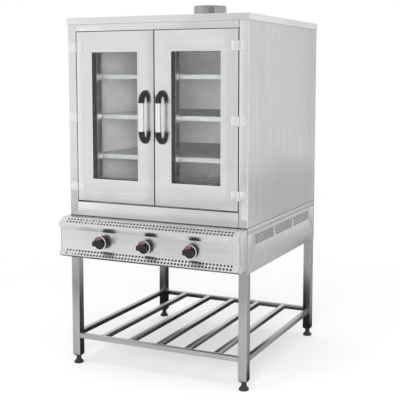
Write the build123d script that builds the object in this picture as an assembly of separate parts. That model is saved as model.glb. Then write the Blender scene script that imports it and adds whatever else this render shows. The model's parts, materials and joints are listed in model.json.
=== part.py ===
from build123d import *
import os
from math import atan2, cos, degrees, hypot, sin

# Electric pastry oven: a tall two-door baking cabinet on a heater base and an open stand.
# Millimetres, +Z up. The front looks towards -Y and the right side towards +X.
# The origin is on the floor, under the middle of the whole object's box.

# Overall sizes
body_width = 900
body_depth = 925
foot_height = 37
leg_clear_height = 475
base_height = 200
cabinet_height = 885
cap_height = 30
cap_overhang = 4
sheet = 1.5

# Stand
leg_size = 40
leg_wall = 2
rack_tube = 22
rack_wall = 1.5
rack_top_above_leg_end = 105
slat_count = 5
plug_flange = 8
plug_taper = 4
plug_depth = 45
foot_diameter = 45
foot_neck_diameter = 22
foot_rim = 6
foot_bell_height = 22
stud_diameter = 10
stud_length = 30
stud_hole_depth = 34

# Control panel, given as its bends in front of the body and below the base's top
panel_top_reach = 60
panel_nose_reach = 98
panel_nose_drop = 30
panel_nose_height = 6
panel_face_reach = 80
panel_face_drop = 54
panel_face_height = 90
panel_lip_drop = 169
panel_lip_height = 11
hole_diameter = 8
hole_pitch = 19
hole_line_distance = 17
upper_rows_from_bend = 19.5
lower_rows_from_bend = 16
hole_end_margin = 32

# Louvred base sides
louvre_rows = 4
louvre_groups = 3
louvre_pitch = 11
louvre_height = 4
louvre_length = 225
louvre_gap = 28
louvre_first_drop = 46
hem_height = 20
hem_depth = 1

# Knobs and the rotary controls behind them
knob_spacing = 226
knob_drop = 100
knob_diameter = 56
knob_ring_diameter = 63
knob_ring_width = 4
knob_body_length = 26
knob_length = 52
grip_length = 54
grip_height = 24
grip_rounding = 4
knob_gap = 1
spindle_diameter = 6
spindle_hole_diameter = 9
spindle_depth = 26
switch_width = 46
switch_depth = 34
switch_bush_diameter = 12
switch_bush_length = 10

# Cabinet front
post_width = 43
header_height = 32
sill_height = 66
landing_depth = 48
landing_width = 27
door_gap = 2.5

# Doors
door_thickness = 45
plug_thickness = 40
plug_side_inset = 32
plug_meeting_inset = 25
plug_end_inset = 34
window_stile = 82.5
window_bottom_rail = 109
window_top_rail = 93
window_trim_width = 9
window_trim_rise = 1.2
glass_thickness = 4
glass_edge = 10
seal_width = 6
gasket_width = 8
gasket_inset = 13

# Handles
handle_offset = 42
handle_length = 240
handle_drop = 262
handle_bar_diameter = 24
handle_standoff = 40
bracket_width = 28
bracket_height = 57
bracket_foot_height = 44
bracket_facet = 6
bracket_wall = 1
bracket_root_depth = 13
bracket_chin_height = 20
bracket_nose_height = 28
bracket_nose_setback = 5

# Hinges
hinge_count = 3
hinge_from_door_end = 71
leaf_width = 35
leaf_height = 42
leaf_thickness = 2
knuckle_diameter = 9
pin_diameter = 5
knuckle_axis_reach = 5

# Chamber
chamber_back_gap = 45
shelf_first_height = 190
shelf_pitch = 186
shelf_lip = 20
shelf_front_gap = 55
shelf_count = 3
runner_width = 14
runner_sheet = 2
upright_width = 20
runner_setback = 20
shelf_side_gap = 2
heater_diameter = 8
heater_pitch = 80
heater_runs = 8
heater_clearance = 18
heater_end_gap = 90

# Flue, gland and small inner pieces
flue_diameter = 165
flue_rise = 80
flue_ledge = 1.2
flue_behind_front = 595
gland_hole_diameter = 20
gland_bore_diameter = 12
gland_across = 28
gland_from_side = 150
gland_reach = 18
gland_nut_thickness = 8
gland_drop = 110
terminal_length = 90
terminal_width = 30
terminal_height = 28
catch_length = 60
catch_height = 10
catch_from_middle = 60

# Clearances
running_clearance = 0.05
near_gap = 0.3
slip_gap = 0.5

# Levels
leg_end_z = foot_height + plug_flange
base_bottom_z = leg_end_z + leg_clear_height
base_top_z = base_bottom_z + base_height
cabinet_top_z = base_top_z + cabinet_height
cap_top_z = cabinet_top_z + cap_height

# Places across the object
half_width = body_width / 2
front_reach = panel_face_reach + knob_gap + knob_length
front_y = (front_reach - gland_reach - body_depth) / 2
back_y = front_y + body_depth

# Door opening and chamber
opening_half = half_width - post_width
opening_bottom_z = base_top_z + sill_height
opening_top_z = cabinet_top_z - header_height
landing_y = front_y + landing_depth
chamber_half = opening_half - landing_width
chamber_floor_z = opening_bottom_z + landing_width
chamber_roof_z = opening_top_z - landing_width
chamber_front_y = landing_y + sheet
chamber_back_y = back_y - chamber_back_gap
door_bottom_z = opening_bottom_z + door_gap
door_top_z = opening_top_z - door_gap
door_middle_z = (door_bottom_z + door_top_z) / 2
door_back_y = front_y + door_thickness

os.makedirs("parts", exist_ok=True)


def box(x0, x1, y0, y1, z0, z1):
    """A box from its lowest to its highest corner."""
    size = Box(x1 - x0, y1 - y0, z1 - z0, align=(Align.MIN, Align.MIN, Align.MIN))
    return Pos(x0, y0, z0) * size


def mirror_x(shape):
    """The same piece on the other side."""
    return mirror(shape, about=Plane.YZ)


def upright_cylinder(x, y, z0, z1, diameter):
    cylinder = Cylinder(diameter / 2, z1 - z0, align=(Align.CENTER, Align.CENTER, Align.MIN))
    return Pos(x, y, z0) * cylinder


def forward_cylinder(x, y0, y1, z, diameter):
    """A cylinder along Y, from y0 to the larger y1."""
    cylinder = Cylinder(diameter / 2, y1 - y0, align=(Align.CENTER, Align.CENTER, Align.MIN))
    return Pos(x, y0, z) * Rot(-90, 0, 0) * cylinder


def side_profile(points, x0, x1):
    """A closed outline of (y, z) points, run from x0 to x1."""
    face = make_face(Polyline(*[(0, y, z) for y, z in points], close=True))
    return Pos(x0, 0, 0) * extrude(face, amount=x1 - x0, dir=(1, 0, 0))


def plan_profile(points, z0, z1):
    """A closed outline of (x, y) points, run from z0 up to z1."""
    face = make_face(Polyline(*[(x, y, 0) for x, y in points], close=True))
    return Pos(0, 0, z0) * extrude(face, amount=z1 - z0, dir=(0, 0, 1))


def band(points, thickness):
    """The outline of a bent sheet: the points are its outer side, and the sheet lies on their left.
    A negative thickness puts it on their right."""
    inner = []
    for index, (u, v) in enumerate(points):
        turns = []
        if index > 0:
            turns.append((points[index - 1], points[index]))
        if index < len(points) - 1:
            turns.append((points[index], points[index + 1]))
        normals = []
        for (u0, v0), (u1, v1) in turns:
            run = hypot(u1 - u0, v1 - v0)
            normals.append((-(v1 - v0) / run, (u1 - u0) / run))
        sum_u = sum(n[0] for n in normals)
        sum_v = sum(n[1] for n in normals)
        scale = thickness * len(normals) / (sum_u * sum_u + sum_v * sum_v)
        inner.append((u + sum_u * scale, v + sum_v * scale))
    return points + inner[::-1]


def save(shape, node):
    """Writes one piece, or one group of like pieces, under its name."""
    if isinstance(shape, (list, tuple)):
        shape = Compound(children=list(shape))
    shape.label = node
    export_step(shape, f"parts/{node}.step")


# Stand: four square legs with plastic end plugs and screw-in feet
leg_x = half_width - sheet - leg_size / 2
leg_front_y = front_y + leg_size / 2
leg_rear_y = back_y - sheet - leg_size / 2
leg_places = {
    "front_left": (-leg_x, leg_front_y),
    "front_right": (leg_x, leg_front_y),
    "rear_left": (-leg_x, leg_rear_y),
    "rear_right": (leg_x, leg_rear_y),
}
leg_inner = leg_size - 2 * leg_wall
stud_hole_diameter = stud_diameter + 2 * running_clearance
leg_top_z = base_top_z - sheet


def leg(x, y):
    """A square tube from the end plug up to the underside of the base's deck."""
    outer = Box(leg_size, leg_size, leg_top_z - leg_end_z, align=(Align.CENTER, Align.CENTER, Align.MIN))
    bore = Box(leg_inner, leg_inner, leg_top_z - leg_end_z, align=(Align.CENTER, Align.CENTER, Align.MIN))
    return Pos(x, y, leg_end_z) * (outer - bore)


def end_plug(x, y):
    """A plug pressed up the tube, with a tapered flange below it and a threaded hole for the foot."""
    plane = Plane.XY.offset(leg_end_z - plug_flange)
    small = plane * Rectangle(leg_size - 2 * plug_taper, leg_size - 2 * plug_taper)
    large = Plane.XY.offset(leg_end_z) * Rectangle(leg_size, leg_size)
    flange = loft([small, large], ruled=True)
    shank = Pos(0, 0, leg_end_z) * Box(
        leg_inner, leg_inner, plug_depth, align=(Align.CENTER, Align.CENTER, Align.MIN)
    )
    hole = upright_cylinder(0, 0, foot_height, foot_height + stud_hole_depth, stud_hole_diameter)
    return Pos(x, y, 0) * (flange + shank - hole)


def foot(x, y):
    """A turned foot: a bell that widens to the floor, a neck, and the stud it screws up by."""
    foot_top = foot_height - near_gap
    neck = foot_neck_diameter / 2
    rim = foot_diameter / 2
    outline = Polyline((0, 0), (rim, 0), (rim, foot_rim))
    bell = Line((rim, foot_rim), (neck, foot_bell_height))
    rest = Polyline(
        (neck, foot_bell_height),
        (neck, foot_top),
        (stud_diameter / 2, foot_top),
        (stud_diameter / 2, foot_height + stud_length),
        (0, foot_height + stud_length),
        (0, 0),
    )
    face = Plane.XZ * make_face(outline + bell + rest)
    return Pos(x, y, 0) * revolve(face, Axis.Z)


for place, (x, y) in leg_places.items():
    save(leg(x, y), f"leg_{place}")
    save(foot(x, y), f"foot_{place}")
save([end_plug(x, y) for x, y in leg_places.values()], "leg_end_plugs")

# Storage rack: tubes welded between the legs, with slats from front to back
rack_top_z = leg_end_z + rack_top_above_leg_end
rack_bottom_z = rack_top_z - rack_tube
rack_outer_x = leg_x + leg_size / 2
rack_inner_leg_x = leg_x - leg_size / 2
rail_centre_x = rack_outer_x - rack_tube / 2
rail_front_y = leg_front_y - leg_size / 2
rail_rear_y = leg_rear_y + leg_size / 2


def tube_along_x(x0, x1, y0, z0):
    outer = box(x0, x1, y0, y0 + rack_tube, z0, z0 + rack_tube)
    bore_y = y0 + rack_wall
    bore_z = z0 + rack_wall
    bore_size = rack_tube - 2 * rack_wall
    return outer - box(x0, x1, bore_y, bore_y + bore_size, bore_z, bore_z + bore_size)


def tube_along_y(x_middle, y0, y1, z0):
    half = rack_tube / 2
    inner = half - rack_wall
    outer = box(x_middle - half, x_middle + half, y0, y1, z0, z0 + rack_tube)
    bore = box(x_middle - inner, x_middle + inner, y0, y1, z0 + rack_wall, z0 + rack_tube - rack_wall)
    return outer - bore


side_rail = tube_along_y(rail_centre_x, leg_front_y + leg_size / 2, leg_rear_y - leg_size / 2, rack_bottom_z)
save(side_rail, "rack_right_rail")
save(mirror_x(side_rail), "rack_left_rail")
front_rail = tube_along_x(-rack_inner_leg_x, rack_inner_leg_x, rail_front_y, rack_bottom_z)
save(front_rail, "rack_front_rail")
rear_rail = tube_along_x(-rack_inner_leg_x, rack_inner_leg_x, rail_rear_y - rack_tube, rack_bottom_z)
save(rear_rail, "rack_rear_rail")

slat_pitch = 2 * rail_centre_x / (slat_count + 1)
slats = []
for index in range(slat_count):
    slat_x = -rail_centre_x + (index + 1) * slat_pitch
    slats.append(tube_along_y(slat_x, rail_front_y + rack_tube, rail_rear_y - rack_tube, rack_bottom_z))
save(slats, "rack_slats")

# Heater base: a deck on the legs, louvred sides, and a pan of a floor and a back sheet
deck_z = base_top_z - sheet
inner_half = half_width - sheet
base_back_y = back_y - sheet
save(box(-inner_half, inner_half, front_y, base_back_y, deck_z, base_top_z), "base_deck")

gland_x = half_width - gland_from_side
gland_z = base_top_z - gland_drop


def base_pan():
    """The floor of the base, notched round the legs, and the back sheet that stands behind it."""
    floor = box(-inner_half, inner_half, front_y, base_back_y, base_bottom_z, base_bottom_z + sheet)
    back = box(-inner_half, inner_half, base_back_y, back_y, base_bottom_z, base_top_z)
    for x, y in leg_places.values():
        floor -= Pos(x, y, base_bottom_z) * Box(leg_size, leg_size, leg_size)
    hole = forward_cylinder(gland_x, base_back_y - sheet, back_y + sheet, gland_z, gland_hole_diameter)
    return [floor, back - hole]


save(base_pan(), "base_pan")


def base_side():
    """The right side of the base: a sheet with a proud hem along its top and rows of louvre slots."""
    side = box(inner_half, half_width, front_y, back_y, base_bottom_z, base_top_z)
    hem = box(half_width, half_width + hem_depth, front_y, back_y, base_top_z - hem_height, base_top_z)
    side += hem
    louvre_step = louvre_length + louvre_gap
    first_y = (front_y + back_y) / 2 - (louvre_groups - 1) / 2 * louvre_step
    slots = []
    for row in range(louvre_rows):
        slot_z = base_top_z - louvre_first_drop - row * louvre_pitch
        for group in range(louvre_groups):
            slot_y = first_y + group * louvre_step
            slot = SlotOverall(louvre_length, louvre_height)
            tool = extrude(Plane.YZ * slot, amount=2 * sheet, both=True)
            slots.append(Pos(half_width, slot_y, slot_z) * tool)
    return side - slots


right_base_side = base_side()
save(right_base_side, "base_side_right")
save(mirror_x(right_base_side), "base_side_left")

# Control panel: one bent sheet across the front, with welded ends
panel_face_y = front_y - panel_face_reach
panel_points = [
    (front_y, base_top_z),
    (front_y - panel_top_reach, base_top_z),
    (front_y - panel_nose_reach, base_top_z - panel_nose_drop),
    (front_y - panel_nose_reach, base_top_z - panel_nose_drop - panel_nose_height),
    (panel_face_y, base_top_z - panel_face_drop),
    (panel_face_y, base_top_z - panel_face_drop - panel_face_height),
    (front_y - panel_nose_reach, base_top_z - panel_lip_drop),
    (front_y - panel_nose_reach, base_top_z - panel_lip_drop - panel_lip_height),
]
panel_bottom_z = base_top_z - panel_lip_drop - panel_lip_height
knob_z = base_top_z - knob_drop
knob_places = {
    "thermostat_knob": -knob_spacing,
    "top_heat_knob": 0,
    "bottom_heat_knob": knob_spacing,
}


def hole_rows(start, end, from_bend):
    """The tools for two rows of holes through the slope that runs from one bend to the next."""
    (y0, z0), (y1, z1) = start, end
    slope = atan2(z1 - z0, y1 - y0)
    middle_y = y0 + from_bend * cos(slope)
    middle_z = z0 + from_bend * sin(slope)
    count = int((body_width - 2 * hole_end_margin) // hole_pitch) + 1
    centre = Pos(0, middle_y, middle_z) * Rot(degrees(slope), 0, 0)
    grid = GridLocations(hole_pitch, hole_line_distance, count, 2)
    return [centre * spot * Cylinder(hole_diameter / 2, 4 * sheet) for spot in grid]


def control_panel():
    """The bent sheet, its two ends, the vent holes and the holes for the spindles."""
    bent = side_profile(band(panel_points, sheet), -half_width, half_width)
    end_outline = panel_points + [(front_y, panel_bottom_z)]
    right_end = side_profile(end_outline, half_width - sheet, half_width)
    panel = bent + right_end + mirror_x(right_end)
    panel -= hole_rows(panel_points[1], panel_points[2], upper_rows_from_bend)
    panel -= hole_rows(panel_points[5], panel_points[6], lower_rows_from_bend)
    drill_front_y = panel_face_y - sheet
    drill_back_y = panel_face_y + 2 * sheet
    for x in knob_places.values():
        panel -= forward_cylinder(x, drill_front_y, drill_back_y, knob_z, spindle_hole_diameter)
    return panel


save(control_panel(), "control_panel")

# Knobs: a skirted body with a thin bright ring, a thick grip across it, and the spindle behind
knob_back_y = panel_face_y - knob_gap
knob_front_y = knob_back_y - knob_length


def knob(x):
    """One knob and the spindle it is pressed on, which turns in the control's bush."""
    ring_front_y = knob_back_y - knob_body_length
    body = forward_cylinder(x, ring_front_y, knob_back_y, knob_z, knob_diameter)
    ring = forward_cylinder(x, ring_front_y, ring_front_y + knob_ring_width, knob_z, knob_ring_diameter)
    grip = Pos(x, (knob_front_y + ring_front_y) / 2, knob_z) * Box(
        grip_length, ring_front_y - knob_front_y, grip_height
    )
    round_end = forward_cylinder(x, knob_front_y, ring_front_y, knob_z, grip_length)
    grip = fillet((grip & round_end).edges().group_by(Axis.Y)[0], grip_rounding)
    spindle = forward_cylinder(x, knob_back_y, panel_face_y + sheet + spindle_depth, knob_z, spindle_diameter)
    return body + ring + grip + spindle


for node, x in knob_places.items():
    save(knob(x), node)


def rotary_switch(x):
    """A rotary control behind the panel: a square housing and a round bush bored for the spindle."""
    bush_back_y = panel_face_y + sheet + switch_bush_length
    housing_middle = Pos(x, bush_back_y + switch_depth / 2, knob_z)
    housing = housing_middle * Box(switch_width, switch_depth, switch_width)
    bush = forward_cylinder(x, panel_face_y + sheet, bush_back_y, knob_z, switch_bush_diameter)
    bore_end_y = panel_face_y + sheet + spindle_depth + slip_gap
    bore_diameter = spindle_diameter + 2 * running_clearance
    return housing + bush - forward_cylinder(x, panel_face_y, bore_end_y, knob_z, bore_diameter)


save([rotary_switch(x) for x in knob_places.values()], "rotary_switches")

# Supply: a terminal block on the base's floor and the gland that the cable comes in by


def terminal_block():
    """The block that the supply cable's cores are clamped in."""
    back = base_back_y - leg_size
    floor_z = base_bottom_z + sheet
    x0 = gland_x - terminal_length / 2
    return box(x0, x0 + terminal_length, back - terminal_width, back, floor_z, floor_z + terminal_height)


save(terminal_block(), "terminal_block")


def cable_gland():
    """A hexagon gland through the base's back, with its bore open for a cable."""
    hexagon = RegularPolygon(gland_across / 2, 6, major_radius=False)
    outside = Pos(0, back_y, 0) * extrude(Plane.XZ * hexagon, amount=-gland_nut_thickness)
    nose = forward_cylinder(0, back_y, back_y + gland_reach, 0, gland_hole_diameter)
    shank = forward_cylinder(0, base_back_y, back_y, 0, gland_hole_diameter)
    nut = Pos(0, base_back_y, 0) * extrude(Plane.XZ * hexagon, amount=gland_nut_thickness)
    bore = forward_cylinder(0, base_back_y - gland_reach, back_y + gland_reach, 0, gland_bore_diameter)
    return Pos(gland_x, 0, gland_z) * (outside + nose + shank + nut - bore)


save(cable_gland(), "cable_gland")

# Cabinet casing: side and back sheets, and a roof cap with turned-down edges and the flue hole
flue_y = front_y + flue_behind_front
flue_neck_radius = flue_diameter / 2 - flue_ledge
flue_hole_diameter = 2 * (flue_neck_radius + near_gap)
side_sheet = box(inner_half, half_width, front_y + sheet, back_y, base_top_z, cabinet_top_z)
save(side_sheet, "side_panel_right")
save(mirror_x(side_sheet), "side_panel_left")
save(box(-inner_half, inner_half, base_back_y, back_y, base_top_z, cabinet_top_z), "back_panel")


def roof_cap():
    """A shallow box lid that stands over the casing's front and sides."""
    half = half_width + cap_overhang
    lid = box(-half, half, front_y - cap_overhang, back_y, cabinet_top_z, cap_top_z)
    inner = half - sheet
    inner_front_y = front_y - cap_overhang + sheet
    lid -= box(-inner, inner, inner_front_y, back_y - sheet, cabinet_top_z + sheet, cap_top_z - sheet)
    return lid - upright_cylinder(0, flue_y, cabinet_top_z - sheet, cap_top_z + sheet, flue_hole_diameter)


save(roof_cap(), "roof_cap")

# Front frame: posts over the full height, a header and a sill between them, all one bent profile
post_outline = band(
    [
        (half_width, front_y),
        (opening_half, front_y),
        (opening_half, landing_y),
        (chamber_half, landing_y),
    ],
    -sheet,
)
right_post = plan_profile(post_outline, base_top_z, cabinet_top_z)
save(right_post, "front_post_right")
save(mirror_x(right_post), "front_post_left")


def cross_piece(edge_z, opening_z, chamber_z, thickness):
    """The sill or the header: a face and a ledge between the posts, and a landing behind them."""
    bends = [(front_y, edge_z), (front_y, opening_z), (landing_y, opening_z), (landing_y, chamber_z)]
    face_and_ledge = side_profile(band(bends[:3], thickness), -opening_half, opening_half)
    whole_profile = side_profile(band(bends, thickness), -chamber_half, chamber_half)
    return face_and_ledge + whole_profile


save(cross_piece(base_top_z, opening_bottom_z, chamber_floor_z, -sheet), "front_sill")
save(cross_piece(cabinet_top_z, opening_top_z, chamber_roof_z, sheet), "front_header")


def door_catch(x):
    """A flat magnet on the header's landing, which draws the back of a closed door."""
    catch_y = door_back_y + near_gap
    catch_bottom_z = door_top_z - catch_height
    return box(x - catch_length / 2, x + catch_length / 2, catch_y, landing_y, catch_bottom_z, door_top_z)


# Chamber: a welded liner of five sheets inside a jacket of insulation slabs
liner_half = chamber_half + sheet
liner_floor_z = chamber_floor_z - sheet
liner_roof_z = chamber_roof_z + sheet
liner_back_y = chamber_back_y + sheet
flue_tool = upright_cylinder(0, flue_y, door_middle_z, cap_top_z, flue_hole_diameter)

liner_side = box(chamber_half, liner_half, chamber_front_y, chamber_back_y, chamber_floor_z, chamber_roof_z)
liner_sheets = [
    liner_side,
    mirror_x(liner_side),
    box(-liner_half, liner_half, chamber_back_y, liner_back_y, chamber_floor_z, chamber_roof_z),
    box(-liner_half, liner_half, chamber_front_y, liner_back_y, liner_floor_z, chamber_floor_z),
    box(-liner_half, liner_half, chamber_front_y, liner_back_y, chamber_roof_z, liner_roof_z) - flue_tool,
]
save(liner_sheets, "chamber_liner")

slab_side = box(liner_half, inner_half, chamber_front_y, base_back_y, base_top_z, cabinet_top_z)
insulation_slabs = [
    slab_side,
    mirror_x(slab_side),
    box(-liner_half, liner_half, liner_back_y, base_back_y, base_top_z, cabinet_top_z),
    box(-liner_half, liner_half, chamber_front_y, liner_back_y, base_top_z, liner_floor_z),
    box(-liner_half, liner_half, chamber_front_y, liner_back_y, liner_roof_z, cabinet_top_z) - flue_tool,
]
save(insulation_slabs, "insulation")

# Tray racks and shelves
shelf_bottoms = [chamber_floor_z + shelf_first_height + index * shelf_pitch for index in range(shelf_count)]
runner_front_y = chamber_front_y + shelf_front_gap + runner_setback


def tray_rack():
    """The right-hand rack: two uprights on the liner and an angle runner for each shelf."""
    inner_x = chamber_half - runner_sheet
    rack = Part()
    for y in (runner_front_y, chamber_back_y - upright_width):
        rack += box(inner_x, chamber_half, y, y + upright_width, chamber_floor_z, chamber_roof_z)
    for top_z in shelf_bottoms:
        ledge = box(
            chamber_half - runner_sheet - runner_width,
            inner_x,
            runner_front_y,
            chamber_back_y,
            top_z - runner_sheet,
            top_z,
        )
        web = box(inner_x, chamber_half, runner_front_y, chamber_back_y, top_z - runner_width, top_z)
        rack += ledge + web
    return rack


right_rack = tray_rack()
save(right_rack, "tray_rack_right")
save(mirror_x(right_rack), "tray_rack_left")

shelf_half = chamber_half - runner_sheet - shelf_side_gap


def shelf(bottom_z):
    """A shelf sheet with a deep lip turned down at its front, resting on the runners."""
    shelf_front_y = chamber_front_y + shelf_front_gap
    shelf_back_y = chamber_back_y - slip_gap
    lip_bottom_z = bottom_z + sheet - shelf_lip
    top = box(-shelf_half, shelf_half, shelf_front_y, shelf_back_y, bottom_z, bottom_z + sheet)
    lip = box(-shelf_half, shelf_half, shelf_front_y, shelf_front_y + sheet, lip_bottom_z, bottom_z)
    return top + lip


for name, bottom_z in zip(("lower", "middle", "upper"), shelf_bottoms):
    save(shelf(bottom_z), f"shelf_{name}")

# Heating elements: one rod bent to and fro under the roof, and the same over the floor
heater_front_y = chamber_front_y + heater_end_gap
heater_back_y = chamber_back_y - heater_end_gap


def heater(z):
    """A rod that runs front to back and returns in half turns."""
    radius = heater_pitch / 2
    first_x = -(heater_runs - 1) / 2 * heater_pitch
    pieces = []
    for run in range(heater_runs):
        x = first_x + run * heater_pitch
        forward = run % 2 == 0
        start_y = heater_back_y if forward else heater_front_y
        end_y = heater_front_y if forward else heater_back_y
        if run == 0:
            start_y = chamber_back_y
        if run == heater_runs - 1:
            end_y = chamber_back_y
        pieces.append(Line((x, start_y, z), (x, end_y, z)))
        if run < heater_runs - 1:
            turn_y = end_y
            bulge = -radius if forward else radius
            pieces.append(
                ThreePointArc(
                    (x, turn_y, z), (x + radius, turn_y + bulge, z), (x + heater_pitch, turn_y, z)
                )
            )
    path = Wire(pieces)
    section = Plane(origin=(first_x, chamber_back_y, z), z_dir=(0, -1, 0)) * Circle(heater_diameter / 2)
    return sweep(section, path=path)


heater_low_z = chamber_floor_z + heater_clearance + heater_diameter / 2
heater_high_z = chamber_roof_z - heater_clearance - heater_diameter / 2
save([heater(heater_low_z), heater(heater_high_z)], "heating_elements")

# Flue collar: a tube on the cap, swaged to a narrower neck that drops through it into the chamber
flue_top_z = cap_top_z + flue_rise


def flue_collar():
    """The collar's outline is turned round the flue's axis; its ledge rests on the cap."""
    radius = flue_diameter / 2
    outline = [
        (flue_neck_radius - sheet, chamber_roof_z),
        (flue_neck_radius, chamber_roof_z),
        (flue_neck_radius, cap_top_z),
        (radius, cap_top_z),
        (radius, flue_top_z),
        (radius - sheet, flue_top_z),
        (radius - sheet, cap_top_z + 2 * sheet),
        (flue_neck_radius - sheet, cap_top_z),
    ]
    face = Plane.XZ * make_face(Polyline(*outline, close=True))
    return Pos(0, flue_y, 0) * revolve(face, Axis.Z)


save(flue_collar(), "flue_collar")

# Doors, drawn for the right side and mirrored for the left
door_inner_x = door_gap
door_outer_x = opening_half - door_gap
window_inner_x = door_inner_x + window_stile
window_outer_x = door_outer_x - window_stile
window_bottom_z = door_bottom_z + window_bottom_rail
window_top_z = door_top_z - window_top_rail


def window_block(margin, y0, y1):
    """A block on the window's outline, grown all round by a margin."""
    return box(
        window_inner_x - margin,
        window_outer_x + margin,
        y0,
        y1,
        window_bottom_z - margin,
        window_top_z + margin,
    )


def door_outer():
    """The outer pan: a face with folded edges, and a raised trim round the window."""
    pan = box(door_inner_x, door_outer_x, front_y, door_back_y, door_bottom_z, door_top_z)
    hollow = box(
        door_inner_x + sheet,
        door_outer_x - sheet,
        front_y + sheet,
        door_back_y,
        door_bottom_z + sheet,
        door_top_z - sheet,
    )
    trim = window_block(window_trim_width, front_y - window_trim_rise, front_y)
    return pan - hollow + trim - window_block(0, front_y - window_trim_rise, front_y + sheet)


plug_inner_x = door_inner_x + plug_meeting_inset
plug_outer_x = door_outer_x - plug_side_inset
plug_bottom_z = door_bottom_z + plug_end_inset
plug_top_z = door_top_z - plug_end_inset
plug_back_y = door_back_y + plug_thickness


def door_inner():
    """The inner pan: a lid for the outer pan's back, raised into a plug with a window tunnel."""
    lid = box(
        door_inner_x + sheet,
        door_outer_x - sheet,
        door_back_y - sheet,
        door_back_y,
        door_bottom_z + sheet,
        door_top_z - sheet,
    )
    plug = box(plug_inner_x, plug_outer_x, door_back_y - sheet, plug_back_y, plug_bottom_z, plug_top_z)
    hollow = box(
        plug_inner_x + sheet,
        plug_outer_x - sheet,
        door_back_y - sheet,
        plug_back_y - sheet,
        plug_bottom_z + sheet,
        plug_top_z - sheet,
    )
    tunnel = window_block(sheet, door_back_y, plug_back_y)
    return lid + plug - hollow + tunnel - window_block(0, door_back_y - sheet, plug_back_y)


glass_front_y = front_y + sheet
inner_glass_y = door_back_y - sheet - glass_thickness


def window_glass():
    """The outer and inner panes of the double glazing."""
    outer = window_block(glass_edge, glass_front_y, glass_front_y + glass_thickness)
    inner = window_block(glass_edge, inner_glass_y, inner_glass_y + glass_thickness)
    return [outer, inner]


def window_seal():
    """The black frame that spaces the two panes apart."""
    y0 = glass_front_y + glass_thickness
    return window_block(seal_width, y0, inner_glass_y) - window_block(0, y0, inner_glass_y)


def door_gasket():
    """A strip on the back of the outer pan, along its top, bottom and hinge side."""
    y0 = door_back_y
    y1 = landing_y - near_gap
    outer_x = door_outer_x - gasket_inset
    bottom_z = door_bottom_z + gasket_inset
    top_z = door_top_z - gasket_inset
    strip = box(plug_inner_x, outer_x, y0, y1, bottom_z, top_z)
    inside_x = outer_x - gasket_width
    return strip - box(door_inner_x, inside_x, y0, y1, bottom_z + gasket_width, top_z - gasket_width)


# Handles: a tube held by two faceted brackets
handle_top_z = door_top_z - handle_drop
handle_bottom_z = handle_top_z - handle_length
bar_y = front_y - handle_standoff


def handle_bar():
    bar_diameter = handle_bar_diameter
    low = handle_bottom_z + bracket_height
    high = handle_top_z - bracket_height
    bar = upright_cylinder(handle_offset, bar_y, low, high, bar_diameter)
    return bar - upright_cylinder(handle_offset, bar_y, low, high, bar_diameter - 2 * sheet)


def handle_bracket(end_z, inward):
    """A bracket from the door out to the tube's end; inward is 1 when the tube lies above it."""
    front = bar_y - handle_bar_diameter / 2 - bracket_wall
    behind = bar_y + handle_bar_diameter / 2 + bracket_wall
    outline = [
        (front_y, end_z),
        (front_y - bracket_root_depth, end_z),
        (front + bracket_nose_setback, end_z + inward * bracket_chin_height),
        (front, end_z + inward * bracket_nose_height),
        (front, end_z + inward * bracket_height),
        (behind, end_z + inward * bracket_height),
        (behind, end_z + inward * bracket_foot_height),
        (front_y, end_z + inward * bracket_foot_height),
    ]
    x0 = handle_offset - bracket_width / 2
    x1 = handle_offset + bracket_width / 2
    plan = [
        (x0, front_y),
        (x0, front + bracket_facet),
        (x0 + bracket_facet, front),
        (x1 - bracket_facet, front),
        (x1, front + bracket_facet),
        (x1, front_y),
    ]
    return side_profile(outline, x0, x1) & plan_profile(plan, handle_bottom_z, handle_top_z)


def handle_ends():
    return [handle_bracket(handle_bottom_z, 1), handle_bracket(handle_top_z, -1)]


# Hinges: butt hinges on the face, their axis in front of the gap
hinge_x = opening_half
hinge_y = front_y - knuckle_axis_reach
lowest_hinge_z = door_bottom_z + hinge_from_door_end
highest_hinge_z = door_top_z - hinge_from_door_end
hinge_step = (highest_hinge_z - lowest_hinge_z) / (hinge_count - 1)
hinge_zs = [lowest_hinge_z + index * hinge_step for index in range(hinge_count)]
knuckle_height = leaf_height / 3
pin_hole_diameter = pin_diameter + 2 * running_clearance


def knuckle(z0, z1):
    return upright_cylinder(hinge_x, hinge_y, z0, z1, knuckle_diameter)


def post_leaf(z):
    """The fixed leaf: a plate on the post, its two outer knuckles and the pin through them."""
    low = z - leaf_height / 2
    high = z + leaf_height / 2
    plate = box(hinge_x, hinge_x + leaf_width, front_y - leaf_thickness, front_y, low, high)
    middle = box(
        hinge_x - knuckle_diameter,
        hinge_x + knuckle_diameter / 2 + slip_gap,
        front_y - leaf_thickness,
        front_y,
        low + knuckle_height - near_gap,
        high - knuckle_height + near_gap,
    )
    plate -= middle
    lower = knuckle(low, low + knuckle_height - near_gap)
    upper = knuckle(high - knuckle_height + near_gap, high)
    pin = upright_cylinder(hinge_x, hinge_y, low, high, pin_diameter)
    return plate + lower + upper + pin


def door_leaf(z):
    """The moving leaf: a plate on the door and the middle knuckle, bored for the pin."""
    low = z - leaf_height / 2
    high = z + leaf_height / 2
    plate_edge_x = hinge_x - knuckle_diameter / 2 - slip_gap
    plate = box(hinge_x - leaf_width, plate_edge_x, front_y - leaf_thickness, front_y, low, high)
    tongue = box(
        hinge_x - leaf_width,
        hinge_x,
        front_y - leaf_thickness,
        front_y - near_gap,
        low + knuckle_height,
        high - knuckle_height,
    )
    barrel = knuckle(low + knuckle_height, high - knuckle_height)
    bore = upright_cylinder(hinge_x, hinge_y, low, high, pin_hole_diameter)
    return plate + tongue + barrel - bore


right_post_leaves = [post_leaf(z) for z in hinge_zs]
save(right_post_leaves + [mirror_x(leaf) for leaf in right_post_leaves], "post_hinge_leaves")

save([door_catch(catch_from_middle), door_catch(-catch_from_middle)], "door_catches")

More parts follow.
